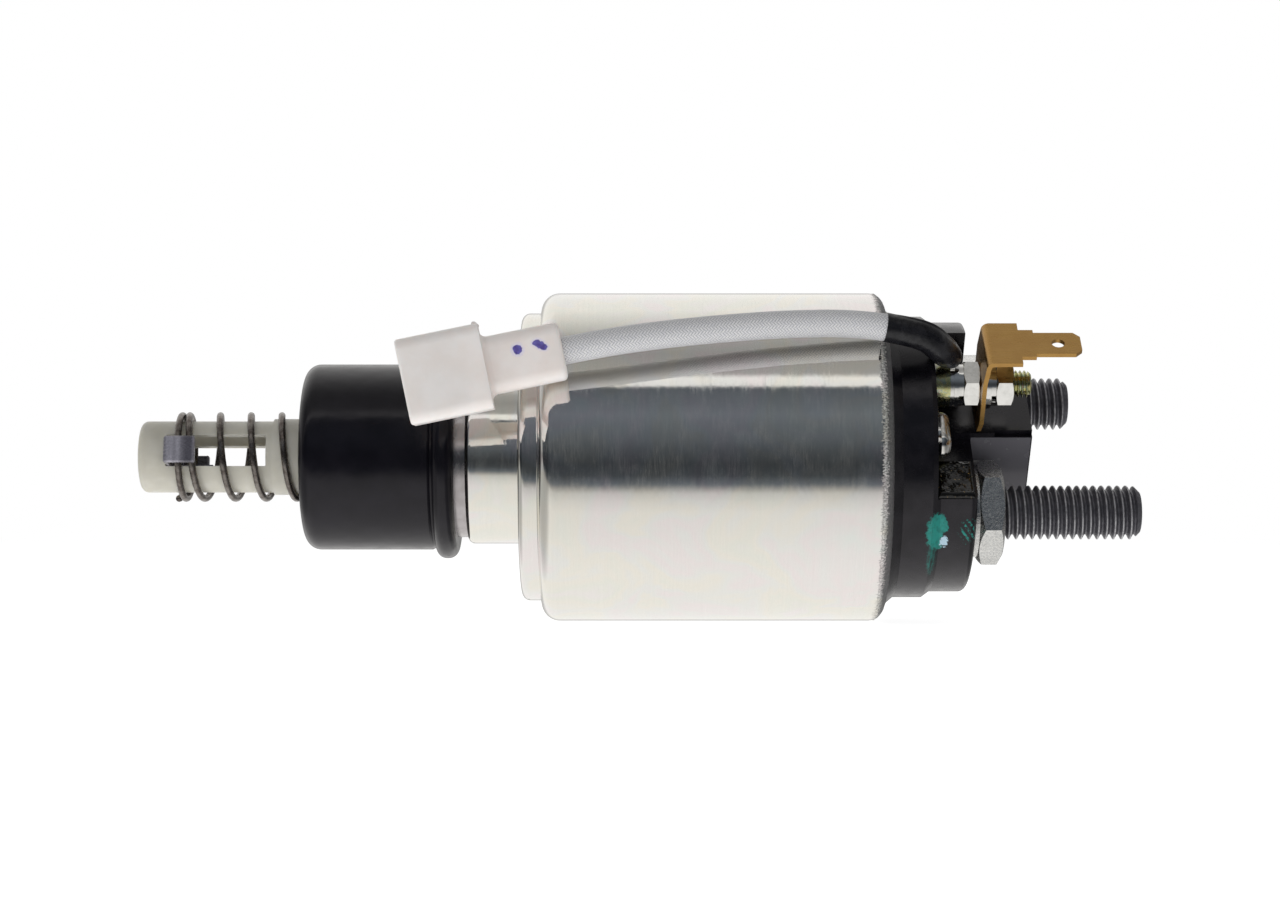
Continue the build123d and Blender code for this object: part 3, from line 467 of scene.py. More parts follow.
def blued_steel():
    """Smooth blued strip, lilac grey, with painted highlight stripes along X."""
    look = Look("blued_steel", (0.22, 0.215, 0.25), 0.3, 0.3)
    first, last = bar_highlights[0][0], bar_highlights[-1][0]
    share = look.node("MapRange", [look.parts()["X"], first, last]).outputs[0]
    highlight_share = look.ramp(share, [((x - first) / (last - first), (light_share, light_share, light_share)) for x, light_share in bar_highlights])
    scratches = look.noise(1.0, 3.0, 0.5, place=look.stretched((2.0, 0.3, 0.3)))
    grain = look.spread(scratches, 0.85, 1.1)
    # Painted highlight: dark blue where the share is low, light lilac grey in the stripes
    look.paint(look.mix(look.math("MULTIPLY", highlight_share, grain), (0.045, 0.043, 0.058), (0.5, 0.485, 0.55)))
    look.rough(look.spread(look.noise(2.0, 3.0), 0.22, 0.32))
    look.bump(look.noise(1.6, 3.0), 0.01)
    return look.material


def spring_steel():
    """Brown oiled wire with fine drawn marks."""
    look = Look("spring_steel", (0.17, 0.15, 0.135), 0.33, 0.9)
    look.mottle((0.125, 0.105, 0.095), (0.25, 0.228, 0.21), 0.9)
    look.rough(look.spread(look.noise(2.0, 4.0), 0.2, 0.34))
    look.bump(look.noise(4.0, 3.0), 0.008)
    return look.material


# Sheen of the yellow passivate, by place in a soft noise
yellow_colors = [(0.3, (0.62, 0.47, 0.2)), (0.42, (0.5, 0.56, 0.3)), (0.5, (0.7, 0.6, 0.3)),
                 (0.58, (0.42, 0.55, 0.42)), (0.7, (0.62, 0.42, 0.36))]


def yellow_zinc():
    """Yellow passivate with a green and purple sheen."""
    look = Look("yellow_zinc", (0.56, 0.5, 0.3), 0.25, 1.0)
    look.paint(look.ramp(look.noise(0.9, 3.0, 0.6, 0.8), yellow_colors))
    look.rough(look.spread(look.noise(2.0, 3.0), 0.16, 0.3))
    look.bump(look.noise(3.0, 3.0), 0.01)
    return look.material


def brass():
    """Rolled strip with fine drawn lines."""
    look = Look("brass", (0.46, 0.3, 0.105), 0.34, 0.9)
    lines = look.noise(1.0, 4.0, 0.6, place=look.stretched((0.3, 3.0, 3.0)))
    tarnish = look.span(look.noise(0.35, 4.0), 0.35, 0.65)
    metal = look.mix(look.spread(lines), (0.43, 0.25, 0.072), (0.5, 0.295, 0.095))
    look.paint(look.mix(look.math("MULTIPLY", tarnish, 0.3), metal, (0.38, 0.2, 0.06)))
    look.rough(look.spread(lines, 0.26, 0.4))
    look.bump(lines, 0.01)
    return look.material


def copper():
    """Copper of the windings, with their turns in relief, and of the contact disc."""
    look = Look("copper", (0.72, 0.36, 0.22), 0.3, 1.0)
    turns = look.node("TexWave", [look.place], wave_type="BANDS", bands_direction="X")
    turns.inputs["Scale"].default_value = 0.35
    look.mottle((0.62, 0.28, 0.16), (0.78, 0.42, 0.27), 0.8)
    look.rough(look.spread(look.noise(1.1, 3.0), 0.24, 0.38))
    look.bump(turns.outputs["Fac"], 0.1)
    return look.material


def tin():
    """Tinned metal and solder, with brown flux left in places."""
    look = Look("tin", (0.74, 0.735, 0.71), 0.2, 1.0)
    flux = look.span(look.noise(0.42, 4.0, 0.6, 1.0), 0.56, 0.62)
    crusts = look.mix(look.span(look.noise(2.0, 4.0), 0.4, 0.6), (0.09, 0.045, 0.02), (0.36, 0.25, 0.14))
    metal = look.mix(look.span(look.noise(0.8, 3.0), 0.35, 0.65), (0.62, 0.61, 0.58), (0.8, 0.79, 0.77))
    look.paint(look.mix(flux, metal, crusts))
    look.metal(look.span(flux, 0.0, 1.0, 1.0, 0.35))
    look.rough(look.spread(look.noise(1.4, 4.0), 0.1, 0.24))
    look.bump(look.noise(0.35, 2.0), 0.06)
    return look.material


# Faint tint of the reflections on the black rubber and the black moulding
lilac_sheen = (0.99, 0.96, 1.0, 1.0)


def black_rubber():
    """Smooth moulded rubber."""
    look = Look("black_rubber", (0.004, 0.004, 0.005), 0.2, Specular_IOR_Level=0.37,
                Specular_Tint=lilac_sheen)
    look.mottle((0.0032, 0.003, 0.005), (0.006, 0.0055, 0.0085), 0.22)
    look.rough(look.spread(look.noise(0.35, 4.0), 0.17, 0.25))
    look.bump(look.noise(3.0, 4.0), 0.004)
    look.bump(look.noise(0.16, 2.0), 0.12)
    return look.material


def shrink_sleeve():
    """Uneven black heat-shrink."""
    look = Look("shrink_sleeve", (0.008, 0.008, 0.01), 0.3, Specular_IOR_Level=0.42)
    look.mottle((0.006, 0.006, 0.008), (0.014, 0.014, 0.017), 0.6)
    look.rough(look.spread(look.noise(0.9, 4.0), 0.24, 0.38))
    look.bump(look.noise(0.8, 3.0), 0.12)
    return look.material


# Dabs of marking paint on the cap, each with its middle and half sizes in X, Y and Z
teal_dab = ((76.3, -22.0, -13.6), (2.1, 5.0, 3.6))
teal_notch = ((78.6, -22.0, -14.9), (1.5, 5.0, 1.5))
teal_run = ((75.5, -19.0, -18.4), (0.75, 5.0, 3.4))
white_fleck = ((77.6, -21.0, -15.5), (0.8, 5.0, 0.95))
teal_hatch = ((81.9, -21.0, -13.5), (1.5, 5.0, 2.0))
hatch_slope = 0.8
hatch_step = 0.62
# Painted light on one side of the barrier wall, where it mirrors the light from below: middle and half
# width across the wall and along X, and its top
wall_light_row = -6.0
wall_light_rows = 0.9
wall_light_middle = 89.2
wall_light_length = 5.5
wall_light_top = 10.25
wall_light_edge = 0.2


def painted_wall_light(look, along):
    """1 where light is painted on one side of the barrier wall, 0 elsewhere."""
    row = look.vector("DOT_PRODUCT", look.place, (0, math.cos(cap_turn), math.sin(cap_turn)))
    off_side = look.math("ABSOLUTE", look.math("SUBTRACT", row, wall_light_row))
    past_ends = look.math("ABSOLUTE", look.math("SUBTRACT", along, wall_light_middle))
    height = look.vector("DOT_PRODUCT", look.place, (0, -math.sin(cap_turn), math.cos(cap_turn)))
    side = look.math("MULTIPLY", look.inside(off_side, wall_light_rows, wall_light_edge),
                     look.inside(past_ends, wall_light_length, wall_light_edge))
    return look.math("MULTIPLY", side, look.span(height, wall_light_top - wall_light_edge, wall_light_top, 1.0, 0.0))


def teal_paint(look, parts):
    """Share of the cap's face that the dab, its run and the hatched strokes cover."""
    dab = look.math("SUBTRACT", look.spot(*teal_dab, ragged=0.14, grain=1.1),
                    look.spot(*teal_notch, ragged=0.2, grain=1.1))
    streaks = look.noise(1.0, 3.0, place=look.stretched((3.2, 0.3, 0.3)))
    run = look.math("MULTIPLY", look.spot(*teal_run, edge=0.5, ragged=0.2),
                    look.span(streaks, 0.35, 0.6, 0.1, 0.5))
    slanted = look.math("ADD", parts["X"], look.math("MULTIPLY", parts["Z"], hatch_slope))
    stroke_wave = look.math("PINGPONG", look.math("DIVIDE", slanted, hatch_step), 1.0)
    broken = look.span(stroke_wave, 0.35, 0.75)
    strokes = look.math("MULTIPLY", broken, look.span(look.noise(2.0), 0.42, 0.6))
    hatch = look.math("MULTIPLY", look.spot(*teal_hatch, edge=0.3, ragged=0.3), strokes)
    return look.math("MAXIMUM", look.math("MAXIMUM", dab, run), look.math("MULTIPLY", hatch, 0.95))


def black_moulding():
    """Glass filled moulding, with dabs of marking paint and painted light on one side of the barrier wall.
    """
    look = Look("black_moulding", (0.005, 0.005, 0.006), 0.24, Specular_IOR_Level=0.41,
                Specular_Tint=lilac_sheen)
    parts = look.parts()
    patches = look.span(look.noise(0.25, 4.0), 0.35, 0.7)
    plain = look.mix(patches, (0.0035, 0.0033, 0.005), (0.009, 0.0083, 0.011))
    # Painted light: a lighter grey on the side of the barrier wall that faces down, standing in for its
    # reflection of the light below
    base = look.mix(painted_wall_light(look, parts["X"]), plain, (0.125, 0.122, 0.136))
    covered = teal_paint(look, parts)
    teal = look.mix(look.span(look.noise(1.1, 3.0), 0.3, 0.6), (0.002, 0.15, 0.125), (0.006, 0.24, 0.2))
    fleck = look.spot(*white_fleck, ragged=0.35)
    look.paint(look.mix(fleck, look.mix(covered, base, teal), (0.45, 0.62, 0.72)))
    look.rough(look.math("MULTIPLY_ADD", covered, 0.08, look.spread(look.noise(0.6, 4.0), 0.19, 0.28)))
    look.bump(look.noise(2.2, 4.0, 0.6), 0.01)
    look.bump(covered, 0.03)
    return look.material


def clear_resin():
    """Potting resin, dark over the black cap, with specks and a wet surface."""
    look = Look("clear_resin", (0.008, 0.007, 0.006), 0.06, Specular_IOR_Level=0.5)
    grains = look.span(look.noise(1.7, 3.0, 0.6), 0.62, 0.68)
    specks = look.math("MULTIPLY", grains, look.span(look.noise(0.4), 0.4, 0.55))
    look.paint(look.mix(specks, (0.004, 0.0035, 0.003), (0.3, 0.2, 0.08)))
    look.rough(look.spread(look.noise(1.0, 3.0), 0.04, 0.1))
    look.bump(look.noise(0.6, 2.0), 0.2)
    return look.material


def natural_nylon():
    """Natural nylon, a warm grey that lets a little light through."""
    look = Look("natural_nylon", (0.62, 0.625, 0.55), 0.38, Subsurface_Weight=0.4, Subsurface_Scale=0.004,
                Subsurface_Radius=(0.6, 0.57, 0.45))
    look.mottle((0.54, 0.52, 0.45), (0.62, 0.6, 0.53), 0.2)
    look.rough(look.spread(look.noise(0.9, 4.0), 0.32, 0.46))
    look.bump(look.noise(1.2, 4.0), 0.02)
    return look.material


# Ink on the plug's neck: one dot, and one mark of three ovals that leans down to the right
ink_dots = (((0.55, -36.0, 18.96), (0.82, 2.5, 0.86)), ((3.98, -36.0, 20.15), (0.78, 2.5, 0.6)),
            ((4.55, -36.0, 19.86), (0.8, 2.5, 0.64)), ((5.1, -36.0, 19.5), (0.7, 2.5, 0.6)))
# Size of the tinted rim round an oval, over the oval's own
halo_size = 1.45


def milky_nylon():
    """Translucent milky nylon, with two marks of ink on the neck."""
    look = Look("milky_nylon", (0.9, 0.865, 0.855), 0.36, Subsurface_Weight=0.55, Subsurface_Scale=0.004,
                Subsurface_Radius=(0.8, 0.68, 0.64))
    base = look.mix(look.span(look.noise(0.16, 4.0), 0.35, 0.65), (0.89, 0.82, 0.78), (0.94, 0.88, 0.85))
    ink = halo = None
    for centre, size in ink_dots:
        wide = tuple(half * halo_size for half in size)
        dot = look.spot(centre, size, ragged=0.12)
        ring = look.spot(centre, wide, edge=0.25, ragged=0.1)
        ink = dot if ink is None else look.math("MAXIMUM", ink, dot)
        halo = ring if halo is None else look.math("MAXIMUM", halo, ring)
    tinted = look.mix(look.math("MULTIPLY", halo, 0.6), base, (0.78, 0.74, 0.9))
    purple = look.mix(look.span(look.noise(1.4, 3.0), 0.35, 0.65), (0.06, 0.03, 0.28), (0.12, 0.1, 0.46))
    look.paint(look.mix(look.math("MULTIPLY", ink, 0.93), tinted, purple))
    look.rough(look.spread(look.noise(0.7, 4.0), 0.28, 0.44))
    look.bump(look.noise(0.5, 4.0), 0.05)
    return look.material


# Strands each way round the lead, the length of one crossing, and how square a strand's section is
braid_carriers = 24
braid_step = 0.62
strand_round = 2.4


def glass_braid():
    """White glass braid, woven two over two, with painted shade in the hollows between strands. U runs
    once round the lead and V along it in millimetres.
    """
    look = Look("glass_braid", (0.84, 0.84, 0.87), 0.5, Sheen_Weight=0.3)
    parts = look.parts(look.node("UVMap", uv_map="round_and_along").outputs[0])
    around = look.math("MULTIPLY", parts["X"], braid_carriers)
    along = look.math("DIVIDE", parts["Y"], braid_step)
    right = look.math("ADD", around, along)
    left = look.math("SUBTRACT", around, along)
    count = look.math("ADD", look.math("FLOOR", right), look.math("FLOOR", left))
    over = look.math("LESS_THAN", look.math("FLOORED_MODULO", count, 4.0), 2.0)
    heights = []
    for strand in (right, left):
        centred = look.math("ABSOLUTE", look.math("MULTIPLY_ADD", look.math("FRACT", strand), 2.0, -1.0))
        heights.append(look.math("SUBTRACT", 1.0, look.math("POWER", centred, strand_round)))
    top = look.node("Mix", [over], data_type="FLOAT")
    plug(look.tree, top.inputs["A"], heights[0])
    plug(look.tree, top.inputs["B"], heights[1])
    height = top.outputs[0]
    threads = look.noise(4.5, 2.0)
    strands = look.mix(look.span(threads, 0.35, 0.65), (0.74, 0.74, 0.77), (0.89, 0.885, 0.88))
    # Painted shade: darker grey where the strands dip into the hollows of the weave
    look.paint(look.mix(look.span(height, 0.1, 0.85), (0.36, 0.36, 0.39), strands))
    look.rough(look.spread(threads, 0.4, 0.6))
    look.bump(height, 0.05)
    return look.material


# Each slot has the name of the function that makes its finish
makers = (zinc_plate, bare_steel, dull_steel, fastener_zinc, stud_phosphate, blued_steel, spring_steel,
          yellow_zinc, brass, copper, tin, black_rubber, shrink_sleeve, black_moulding, natural_nylon,
          milky_nylon, glass_braid)
finishes = {make.__name__: make() for make in makers}

node_slots = {entry["node"]: entry["material_slot"] for entry in frame["record"]["subparts"]}
for name, node in frame["nodes"].items():
    for slot in node.material_slots:
        slot.link = "OBJECT"
        slot.material = finishes[node_slots[name]]


# Pieces

def new_piece(name, vertices, faces, slot, body, uvs=None, finish=None):
    """Mesh piece in the frame's millimetres, with the finish of a slot or its own, riding on a body."""
    mesh = bpy.data.meshes.new(name)
    mesh.from_pydata([Vector(place) * MM for place in vertices], [], faces)
    mesh.polygons.foreach_set("use_smooth", [True] * len(mesh.polygons))
    if uvs is not None:
        layer = mesh.uv_layers.new(name="round_and_along")
        for loop in mesh.loops:
            layer.data[loop.index].uv = uvs[loop.vertex_index]
    mesh.update()
    piece = bpy.data.objects.new(name, mesh)
    bpy.context.scene.collection.objects.link(piece)
    mesh.materials.append(finish or finishes[slot])
    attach(piece, body)
    return piece


def rings_to_mesh(rings, closed=False):
    """Vertices and faces of a skin over equal rings, capped at both ends or joined into a loop."""
    sides = len(rings[0])
    vertices = [place for ring in rings for place in ring]
    faces = []
    for row in range(len(rings) if closed else len(rings) - 1):
        here = row * sides
        there = (row + 1) % len(rings) * sides
        for side in range(sides):
            after = (side + 1) % sides
            faces.append((here + side, here + after, there + after, there + side))
    if not closed:
        faces.append(tuple(reversed(range(sides))))
        faces.append(tuple((len(rings) - 1) * sides + side for side in range(sides)))
    return vertices, faces


# Peened crimp over the case's rear corner
case_radius = 31.0
crimp_corner = 2.6
crimp_end = 67.9
crimp_sides = 900
crimp_rows = 16
crimp_tilts = (12.0, 84.0)
crimp_skin = 0.12
# Both edges sink below the solid, and each takes 1 / crimp_fade of the width
crimp_fade = 8
crimp_sink = 0.02
crimp_lift = 0.03
# Hammer blows: waves per millimetre, coarse and fine, the fine ones' share, lower limit and depth
crimp_blow_scales = (0.9, 2.3)
crimp_fine_share = 0.5
crimp_blow_floor = -0.4
crimp_blow_depth = 0.05
# Torn burr along the front edge, with its place and width in degrees of tilt
crimp_burr_tilt = 20.0
crimp_burr_width = 7.0
crimp_burr_height = 0.2
crimp_tear_scale = 2.2
crimp_tear_shift = 0.2


def crimp_height(tilt, place):
    """Height of the dented metal over the smooth corner, in millimetres."""
    coarse, fine = crimp_blow_scales
    blows = noise.noise(place * coarse) + crimp_fine_share * noise.noise(place * fine)
    burr = math.exp(-((tilt - crimp_burr_tilt) / crimp_burr_width) ** 2)
    torn = max(0.0, noise.noise(place * crimp_tear_scale) + crimp_tear_shift)
    dents = crimp_blow_depth * max(crimp_blow_floor, blows)
    return crimp_lift + dents + crimp_burr_height * burr * torn


def crimp_ring():
    """Dented skin over the rounded corner, closed underneath."""
    outer = []
    inner = []
    for row in range(crimp_rows + 1):
        share = row / crimp_rows
        tilt = crimp_tilts[0] + (crimp_tilts[1] - crimp_tilts[0]) * share
        fade = min(1.0, crimp_fade * share, crimp_fade * (1 - share))
        lean = math.radians(tilt)
        over = []
        under = []
        for side in range(crimp_sides):
            angle = 2 * math.pi * side / crimp_sides
            flat = Vector((0, math.cos(angle), math.sin(angle)))
            middle = flat * (case_radius - crimp_corner) + Vector((crimp_end - crimp_corner, 0, 0))
            outward = Vector((math.sin(lean), 0, 0)) + flat * math.cos(lean)
            surface = middle + outward * crimp_corner
            height = crimp_height(tilt, surface) * fade - crimp_sink * (1 - fade)
            over.append(surface + outward * height)
            under.append(surface - outward * crimp_skin)
        outer.append(over)
        inner.append(under)
    return rings_to_mesh(outer + inner[::-1], closed=True)


new_piece("case_crimp", *crimp_ring(), "zinc_plate", "housing")


# Potting resin run out on the cap's step, beside the solder
resin_x = (76.15, 83.1)
resin_rows = (-23.3, -13.0)
resin_height = 9.82
resin_depth = 0.55
resin_under = 0.3
resin_steps = (30, 44)
# Steepness of the rounded rim: at both ends along X, then at the outer and the inner end across
resin_rim_x = 9
resin_rim_outer = 14
resin_rim_inner = 5
resin_wave = 0.14
resin_wave_scale = 0.5
# Raised bead near the outer edge: height, and place and width as shares of the pool's width
resin_bead = 0.3
resin_bead_place = 0.07
resin_bead_width = 0.04


def resin_surface(share_x, share_row):
    """X, row and height of the resin's surface, for a share of its length and of its width."""
    x = resin_x[0] + (resin_x[1] - resin_x[0]) * share_x
    row = resin_rows[0] + (resin_rows[1] - resin_rows[0]) * share_row
    rim = min(share_x * resin_rim_x, (1 - share_x) * resin_rim_x,
              share_row * resin_rim_outer, (1 - share_row) * resin_rim_inner, 1.0)
    round_rim = math.sqrt(max(0.0, 1 - (1 - rim) ** 2))
    wave = resin_wave * noise.noise(Vector((x * resin_wave_scale, row * resin_wave_scale, 0.0)))
    bead = resin_bead * math.exp(-((share_row - resin_bead_place) / resin_bead_width) ** 2)
    return x, row, resin_height + (resin_depth + wave + bead) * round_rim


def resin_pool():
    """Wavy slab with a rounded rim, lying on the step."""
    long, wide = resin_steps
    top = []
    bottom = []
    for i in range(long + 1):
        for j in range(wide + 1):
            x, row, height = resin_surface(i / long, j / wide)
            top.append((x, *on_cap(row, height)))
            bottom.append((x, *on_cap(row, resin_height - resin_under)))
    faces = []
    stride = wide + 1
    count = len(top)
    for i in range(long):
        for j in range(wide):
            corner = i * stride + j
            under = count + corner
            faces.append((corner, corner + stride, corner + stride + 1, corner + 1))
            faces.append((under, under + 1, under + stride + 1, under + stride))
    edge = list(range(stride))
    edge += [i * stride + wide for i in range(1, long + 1)]
    edge += [long * stride + j for j in range(wide - 1, -1, -1)]
    edge += [i * stride for i in range(long - 1, 0, -1)]
    for here, after in zip(edge, edge[1:] + edge[:1]):
        faces.append((here, after, count + after, count + here))
    return top + bottom, faces


new_piece("resin_spill", *resin_pool(), "black_moulding", "housing", finish=clear_resin())


# Threaded studs. Depth, crest and flank are shares of the pitch.
thread_sides = 72
thread_rows = 16
thread_depth_share = 0.6134
thread_crest = 0.12
thread_flank = 0.66
thread_lead_in = 0.02
thread_angles = [2 * math.pi * side / thread_sides for side in range(thread_sides)]


def threaded_stud(place, plain, end, radius, pitch, chamfer):
    """Plain steps given as X and radius, then a right-hand thread up to a chamfered end."""
    y0, z0 = on_cap(*place)

    def ring_at(x, reaches):
        return [(x, y0 + reach * math.cos(angle), z0 + reach * math.sin(angle))
                for angle, reach in zip(thread_angles, reaches)]

    depth = thread_depth_share * pitch
    thread_start = plain[-1][0]
    rings = [ring_at(x, [reach] * thread_sides) for x, reach in plain]
    for x in [*np.arange(thread_start + thread_lead_in, end, pitch / thread_rows), end]:
        limit = radius - max(0.0, x - (end - chamfer))
        reaches = []
        for angle in thread_angles:
            flank = abs(2 * ((x / pitch - angle / (2 * math.pi)) % 1.0) - 1)
            cut = min(1.0, max(0.0, (flank - thread_crest) / thread_flank))
            reaches.append(min(radius - depth * cut, limit))
        rings.append(ring_at(x, reaches))
    return rings_to_mesh(rings)


# Main studs: square heads inside the cap, from stud_start to stud_head_end along X
stud_start = 69.0
stud_head_half = 5.75
stud_head_end = 72.0


def add_head(vertices, faces, place):
    """Square contact head inside the cap, added to a stud's mesh."""
    first = len(vertices)
    for x in (stud_start, stud_head_end):
        for row, height in ((-1, -1), (1, -1), (1, 1), (-1, 1)):
            corner = on_cap(place[0] + row * stud_head_half, place[1] + height * stud_head_half)
            vertices.append((x, *corner))
    for corners in ((3, 2, 1, 0), (4, 5, 6, 7), (0, 1, 5, 4), (1, 2, 6, 5), (2, 3, 7, 6), (3, 0, 4, 7)):
        faces.append(tuple(first + corner for corner in corners))


cap_face = 83.5
main_shank_radius = 5.2
main_radius = 5.0
main_pitch = 1.5
main_chamfer = 1.2
battery_end = 114.6
motor_end = 104.8
main_studs = (("battery_stud", battery_place, battery_end), ("motor_stud", motor_place, motor_end))
for name, place, end in main_studs:
    plain = [(stud_start, main_shank_radius), (cap_face, main_shank_radius), (cap_face, main_radius)]
    vertices, faces = threaded_stud(place, plain, end, main_radius, main_pitch, main_chamfer)
    add_head(vertices, faces, place)
    stud = new_piece(name + "_threaded", vertices, faces, "stud_phosphate", "housing")
    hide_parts(name)

signal_start = 70.4
signal_head_end = 72.0
signal_head_radius = 4.2
signal_thread_start = 84.9
signal_radius = 2.5
signal_plain = [(signal_start, signal_head_radius), (signal_head_end, signal_head_radius),
                (signal_head_end, signal_radius), (signal_thread_start, signal_radius)]
signal_end = 94.5
signal_pitch = 0.8
signal_chamfer = 0.6
vertices, faces = threaded_stud(signal_place, signal_plain, signal_end, signal_radius, signal_pitch,
                                signal_chamfer)
stud = new_piece("signal_stud_threaded", vertices, faces, "yellow_zinc", "housing")
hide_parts("signal_stud")


# Springs
spring_sides = 14
turn_steps = 56


def coil(start, turns_and_pitches, mean_radius, wire, start_angle=0.0):
    """Skin of a compression spring along +X from its first wire centre. The angle is in degrees."""
    stops = []
    x = start
    angle = math.radians(start_angle)
    for turns, pitch in turns_and_pitches:
        steps = max(2, round(turns * turn_steps))
        for step in range(steps):
            share = step / steps
            stops.append((x + pitch * turns * share, angle + 2 * math.pi * turns * share))
        x += pitch * turns
        angle += 2 * math.pi * turns
    stops.append((x, angle))
    path = [(x, mean_radius * math.cos(angle), mean_radius * math.sin(angle)) for x, angle in stops]
    path = np.array(path)
    rings = []
    for index, (x, angle) in enumerate(stops):
        along = path[min(index + 1, len(path) - 1)] - path[max(index - 1, 0)]
        along /= np.linalg.norm(along)
        outward = np.array((0.0, math.cos(angle), math.sin(angle)))
        side = np.cross(along, outward)
        side /= np.linalg.norm(side)
        ring = []
        for corner in range(spring_sides):
            turn = 2 * math.pi * corner / spring_sides
            ring.append(path[index] + wire / 2 * (math.cos(turn) * outward + math.sin(turn) * side))
        rings.append(ring)
    return rings_to_mesh(rings)


def spring_piece(name, node, body, shape):
    """Spring piece with a mesh of its own, riding on its body, in place of the solid's spring."""
    vertices, faces = shape
    piece = new_piece(name, vertices, faces, "spring_steel", body)
    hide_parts(node)
    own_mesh(piece)


# Link spring. Its radius lets the coils pass under the cross bar's lip when they are pressed together.
link_wire = 1.3
link_radius = 7.87
link_start_angle = -90.0
link_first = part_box("link_spring")[0].x / MM + link_wire / 2
link_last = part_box("link_spring")[1].x / MM - link_wire / 2
link_closed_pitch = 1.36
link_closed_turns = (1.5, 1.0)
link_open_turns = 4.0
link_open_pitch = (link_last - link_first - sum(link_closed_turns) * link_closed_pitch) / link_open_turns
link_windings = [(link_closed_turns[0], link_closed_pitch), (link_open_turns, link_open_pitch),
                 (link_closed_turns[1], link_closed_pitch)]
spring_piece("link_spring_wire", "link_spring", "plunger_link",
             coil(link_first, link_windings, link_radius, link_wire, link_start_angle))

# Return spring under the boot
return_wire = 1.4
return_radius = 13.75
return_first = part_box("return_spring")[0].x / MM + return_wire / 2
return_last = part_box("return_spring")[1].x / MM - return_wire / 2
return_closed_pitch = 1.45
return_open_turns = 2.0
return_end_turns = 0.5
return_open_pitch = (return_last - return_first - return_closed_pitch) / return_open_turns
return_windings = [(return_end_turns, return_closed_pitch), (return_open_turns, return_open_pitch),
                   (return_end_turns, return_closed_pitch)]
spring_piece("return_spring_wire", "return_spring", "housing",
             coil(return_first, return_windings, return_radius, return_wire))

# Contact's return spring
contact_wire = 0.6
contact_radius = 3.4
contact_turns = 3.5
contact_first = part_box("contact_return_spring")[0].x / MM + contact_wire / 2
contact_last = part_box("contact_return_spring")[1].x / MM - contact_wire / 2
contact_pitch = (contact_last - contact_first) / contact_turns
spring_piece("contact_return_spring_wire", "contact_return_spring", "housing",
             coil(contact_first, [(contact_turns, contact_pitch)], contact_radius, contact_wire))


# Lead and its heat-shrink sleeve
route_steps = 24


def route_points(name, points):
    """Points along the smooth NURBS line that has the given control points, in metres."""
    curve = bpy.data.curves.new(name, "CURVE")
    curve.dimensions = "3D"
    spline = curve.splines.new("NURBS")
    spline.points.add(len(points) - 1)
    for point, place in zip(spline.points, points):
        point.co = (*(part * MM for part in place), 1)
    spline.order_u = 3
    spline.use_endpoint_u = True
    spline.resolution_u = route_steps
    holder = bpy.data.objects.new(name, curve)
    bpy.context.scene.collection.objects.link(holder)
    line = bpy.data.meshes.new_from_object(holder)
    found = [vertex.co.copy() for vertex in line.vertices]
    bpy.data.objects.remove(holder)
    bpy.data.meshes.remove(line)
    return found


def evenly(points, count):
    """The same line with evenly spaced points, and the distance to each."""
    line = np.array(points)
    runs = np.linalg.norm(np.diff(line, axis=0), axis=1)
    travelled = np.concatenate(([0.0], np.cumsum(runs)))
    stops = np.linspace(0.0, travelled[-1], count)
    return np.column_stack([np.interp(stops, travelled, line[:, axis]) for axis in range(3)]), stops


def skin_along(points, radius_at, sides):
    """Rings round a line. radius_at takes a share of the turn, a distance and a share of the length."""
    line, stops = points
    rings = []
    upward = np.array((0.0, 0.0, 1.0))
    for index, stop in enumerate(stops):
        along = line[min(index + 1, len(line) - 1)] - line[max(index - 1, 0)]
        along /= np.linalg.norm(along)
        across = np.cross(along, upward)
        across /= np.linalg.norm(across)
        lift = np.cross(across, along)
        upward = lift
        ring = []
        for side in range(sides):
            angle = 2 * math.pi * side / sides
            radius = radius_at(side / sides, stop / MM, index / (len(stops) - 1))
            ring.append(line[index] / MM + radius * (math.cos(angle) * across + math.sin(angle) * lift))
        rings.append(ring)
    return rings


braid_relief = 0.1
braid_sides = 144
braid_rows = 560


def braid_radius(around, along, share):
    """Outer surface of the woven sleeve."""
    right = around * braid_carriers + along / braid_step
    left = around * braid_carriers - along / braid_step
    over = (math.floor(right) + math.floor(left)) % 4 < 2
    strand = left if over else right
    centred = abs(2 * (strand % 1.0) - 1)
    return lead_diameter / 2 - braid_relief * centred ** strand_round


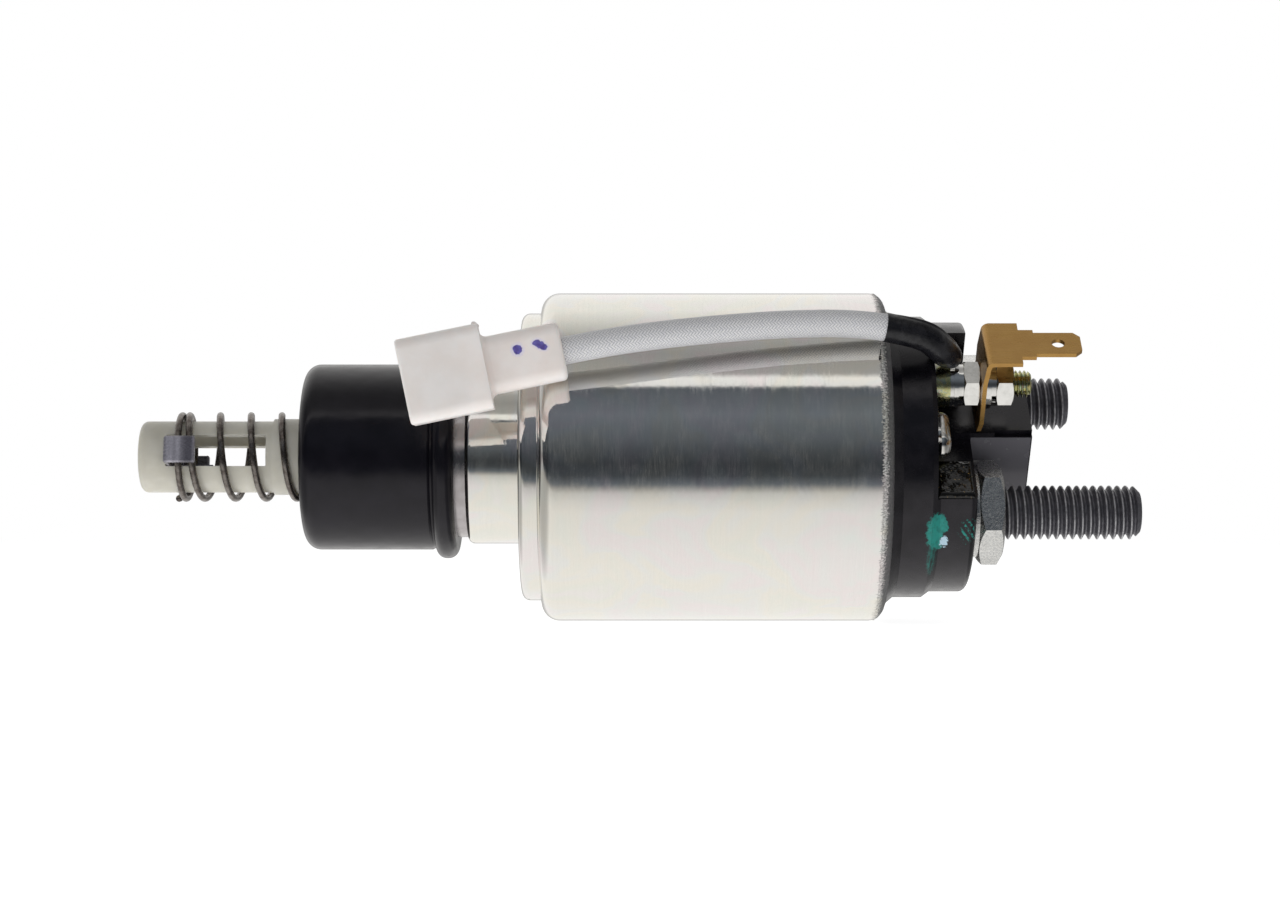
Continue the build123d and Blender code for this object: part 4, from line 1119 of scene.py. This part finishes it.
shrink_end = Vector(lead_route[1]) + (Vector(lead_route[2]) - Vector(lead_route[1])) * shrink_share
lead_points = route_points("lead_route", [tuple(shrink_end), *lead_route[2:]])
lead_line = evenly(lead_points, braid_rows)
rings = skin_along(lead_line, braid_radius, braid_sides)
vertices, faces = rings_to_mesh(rings)
uvs = [(side / braid_sides, stop / MM) for stop in lead_line[1] for side in range(braid_sides)]
lead = new_piece("braided_lead", vertices, faces, "glass_braid", "housing", uvs)
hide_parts("lead")

# Shrink sleeve, which runs on over the first shrink_over of the braid
shrink_rows = 100
shrink_sides = 96
shrink_over = 1.8
shrink_line = route_points("shrink_route", [lead_start, *lead_route[:2], tuple(shrink_end)])
covered_part = [Vector(place) for place, run in zip(*lead_line) if run <= shrink_over * MM]
shrink_points = evenly(shrink_line + covered_part[1:], shrink_rows)
shrink_slack = 0.03
# Narrowing towards the ring terminal, over a share of the length, and flattening there
shrink_pinch = 0.2
shrink_pinch_share = 0.3
shrink_oval = 0.14
shrink_oval_turn = 0.25
# Crease along the top: share of the turn, width and height
shrink_crease = 0.36
shrink_crease_width = 0.02
shrink_crease_height = 0.3
shrink_wave = 0.05
shrink_wave_turns = 11
shrink_lip_length = 0.08
shrink_lip_flare = 0.08


def shrink_radius(around, along, share):
    """Flattened towards the ring terminal, creased along its top and loose at its open end."""
    pinch = 1 - shrink_pinch * (1 - min(1.0, share / shrink_pinch_share)) ** 2
    oval = shrink_oval * math.cos(4 * math.pi * (around - shrink_oval_turn)) * (1 - share)
    fold = math.exp(-((around - shrink_crease) / shrink_crease_width) ** 2)
    crease = shrink_crease_height * fold * math.sin(math.pi * share)
    wave = shrink_wave * math.sin(shrink_wave_turns * share + 2 * math.pi * around)
    mouth = 1 - shrink_lip_length
    loose = shrink_lip_flare * max(0.0, share - mouth) / shrink_lip_length
    return (shrink_diameter / 2 + shrink_slack + wave + oval + crease + loose) * pinch


vertices, faces = rings_to_mesh(skin_along(shrink_points, shrink_radius, shrink_sides))
sleeve = new_piece("lead_sleeve", vertices, faces, "shrink_sleeve", "housing")
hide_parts("heat_shrink")
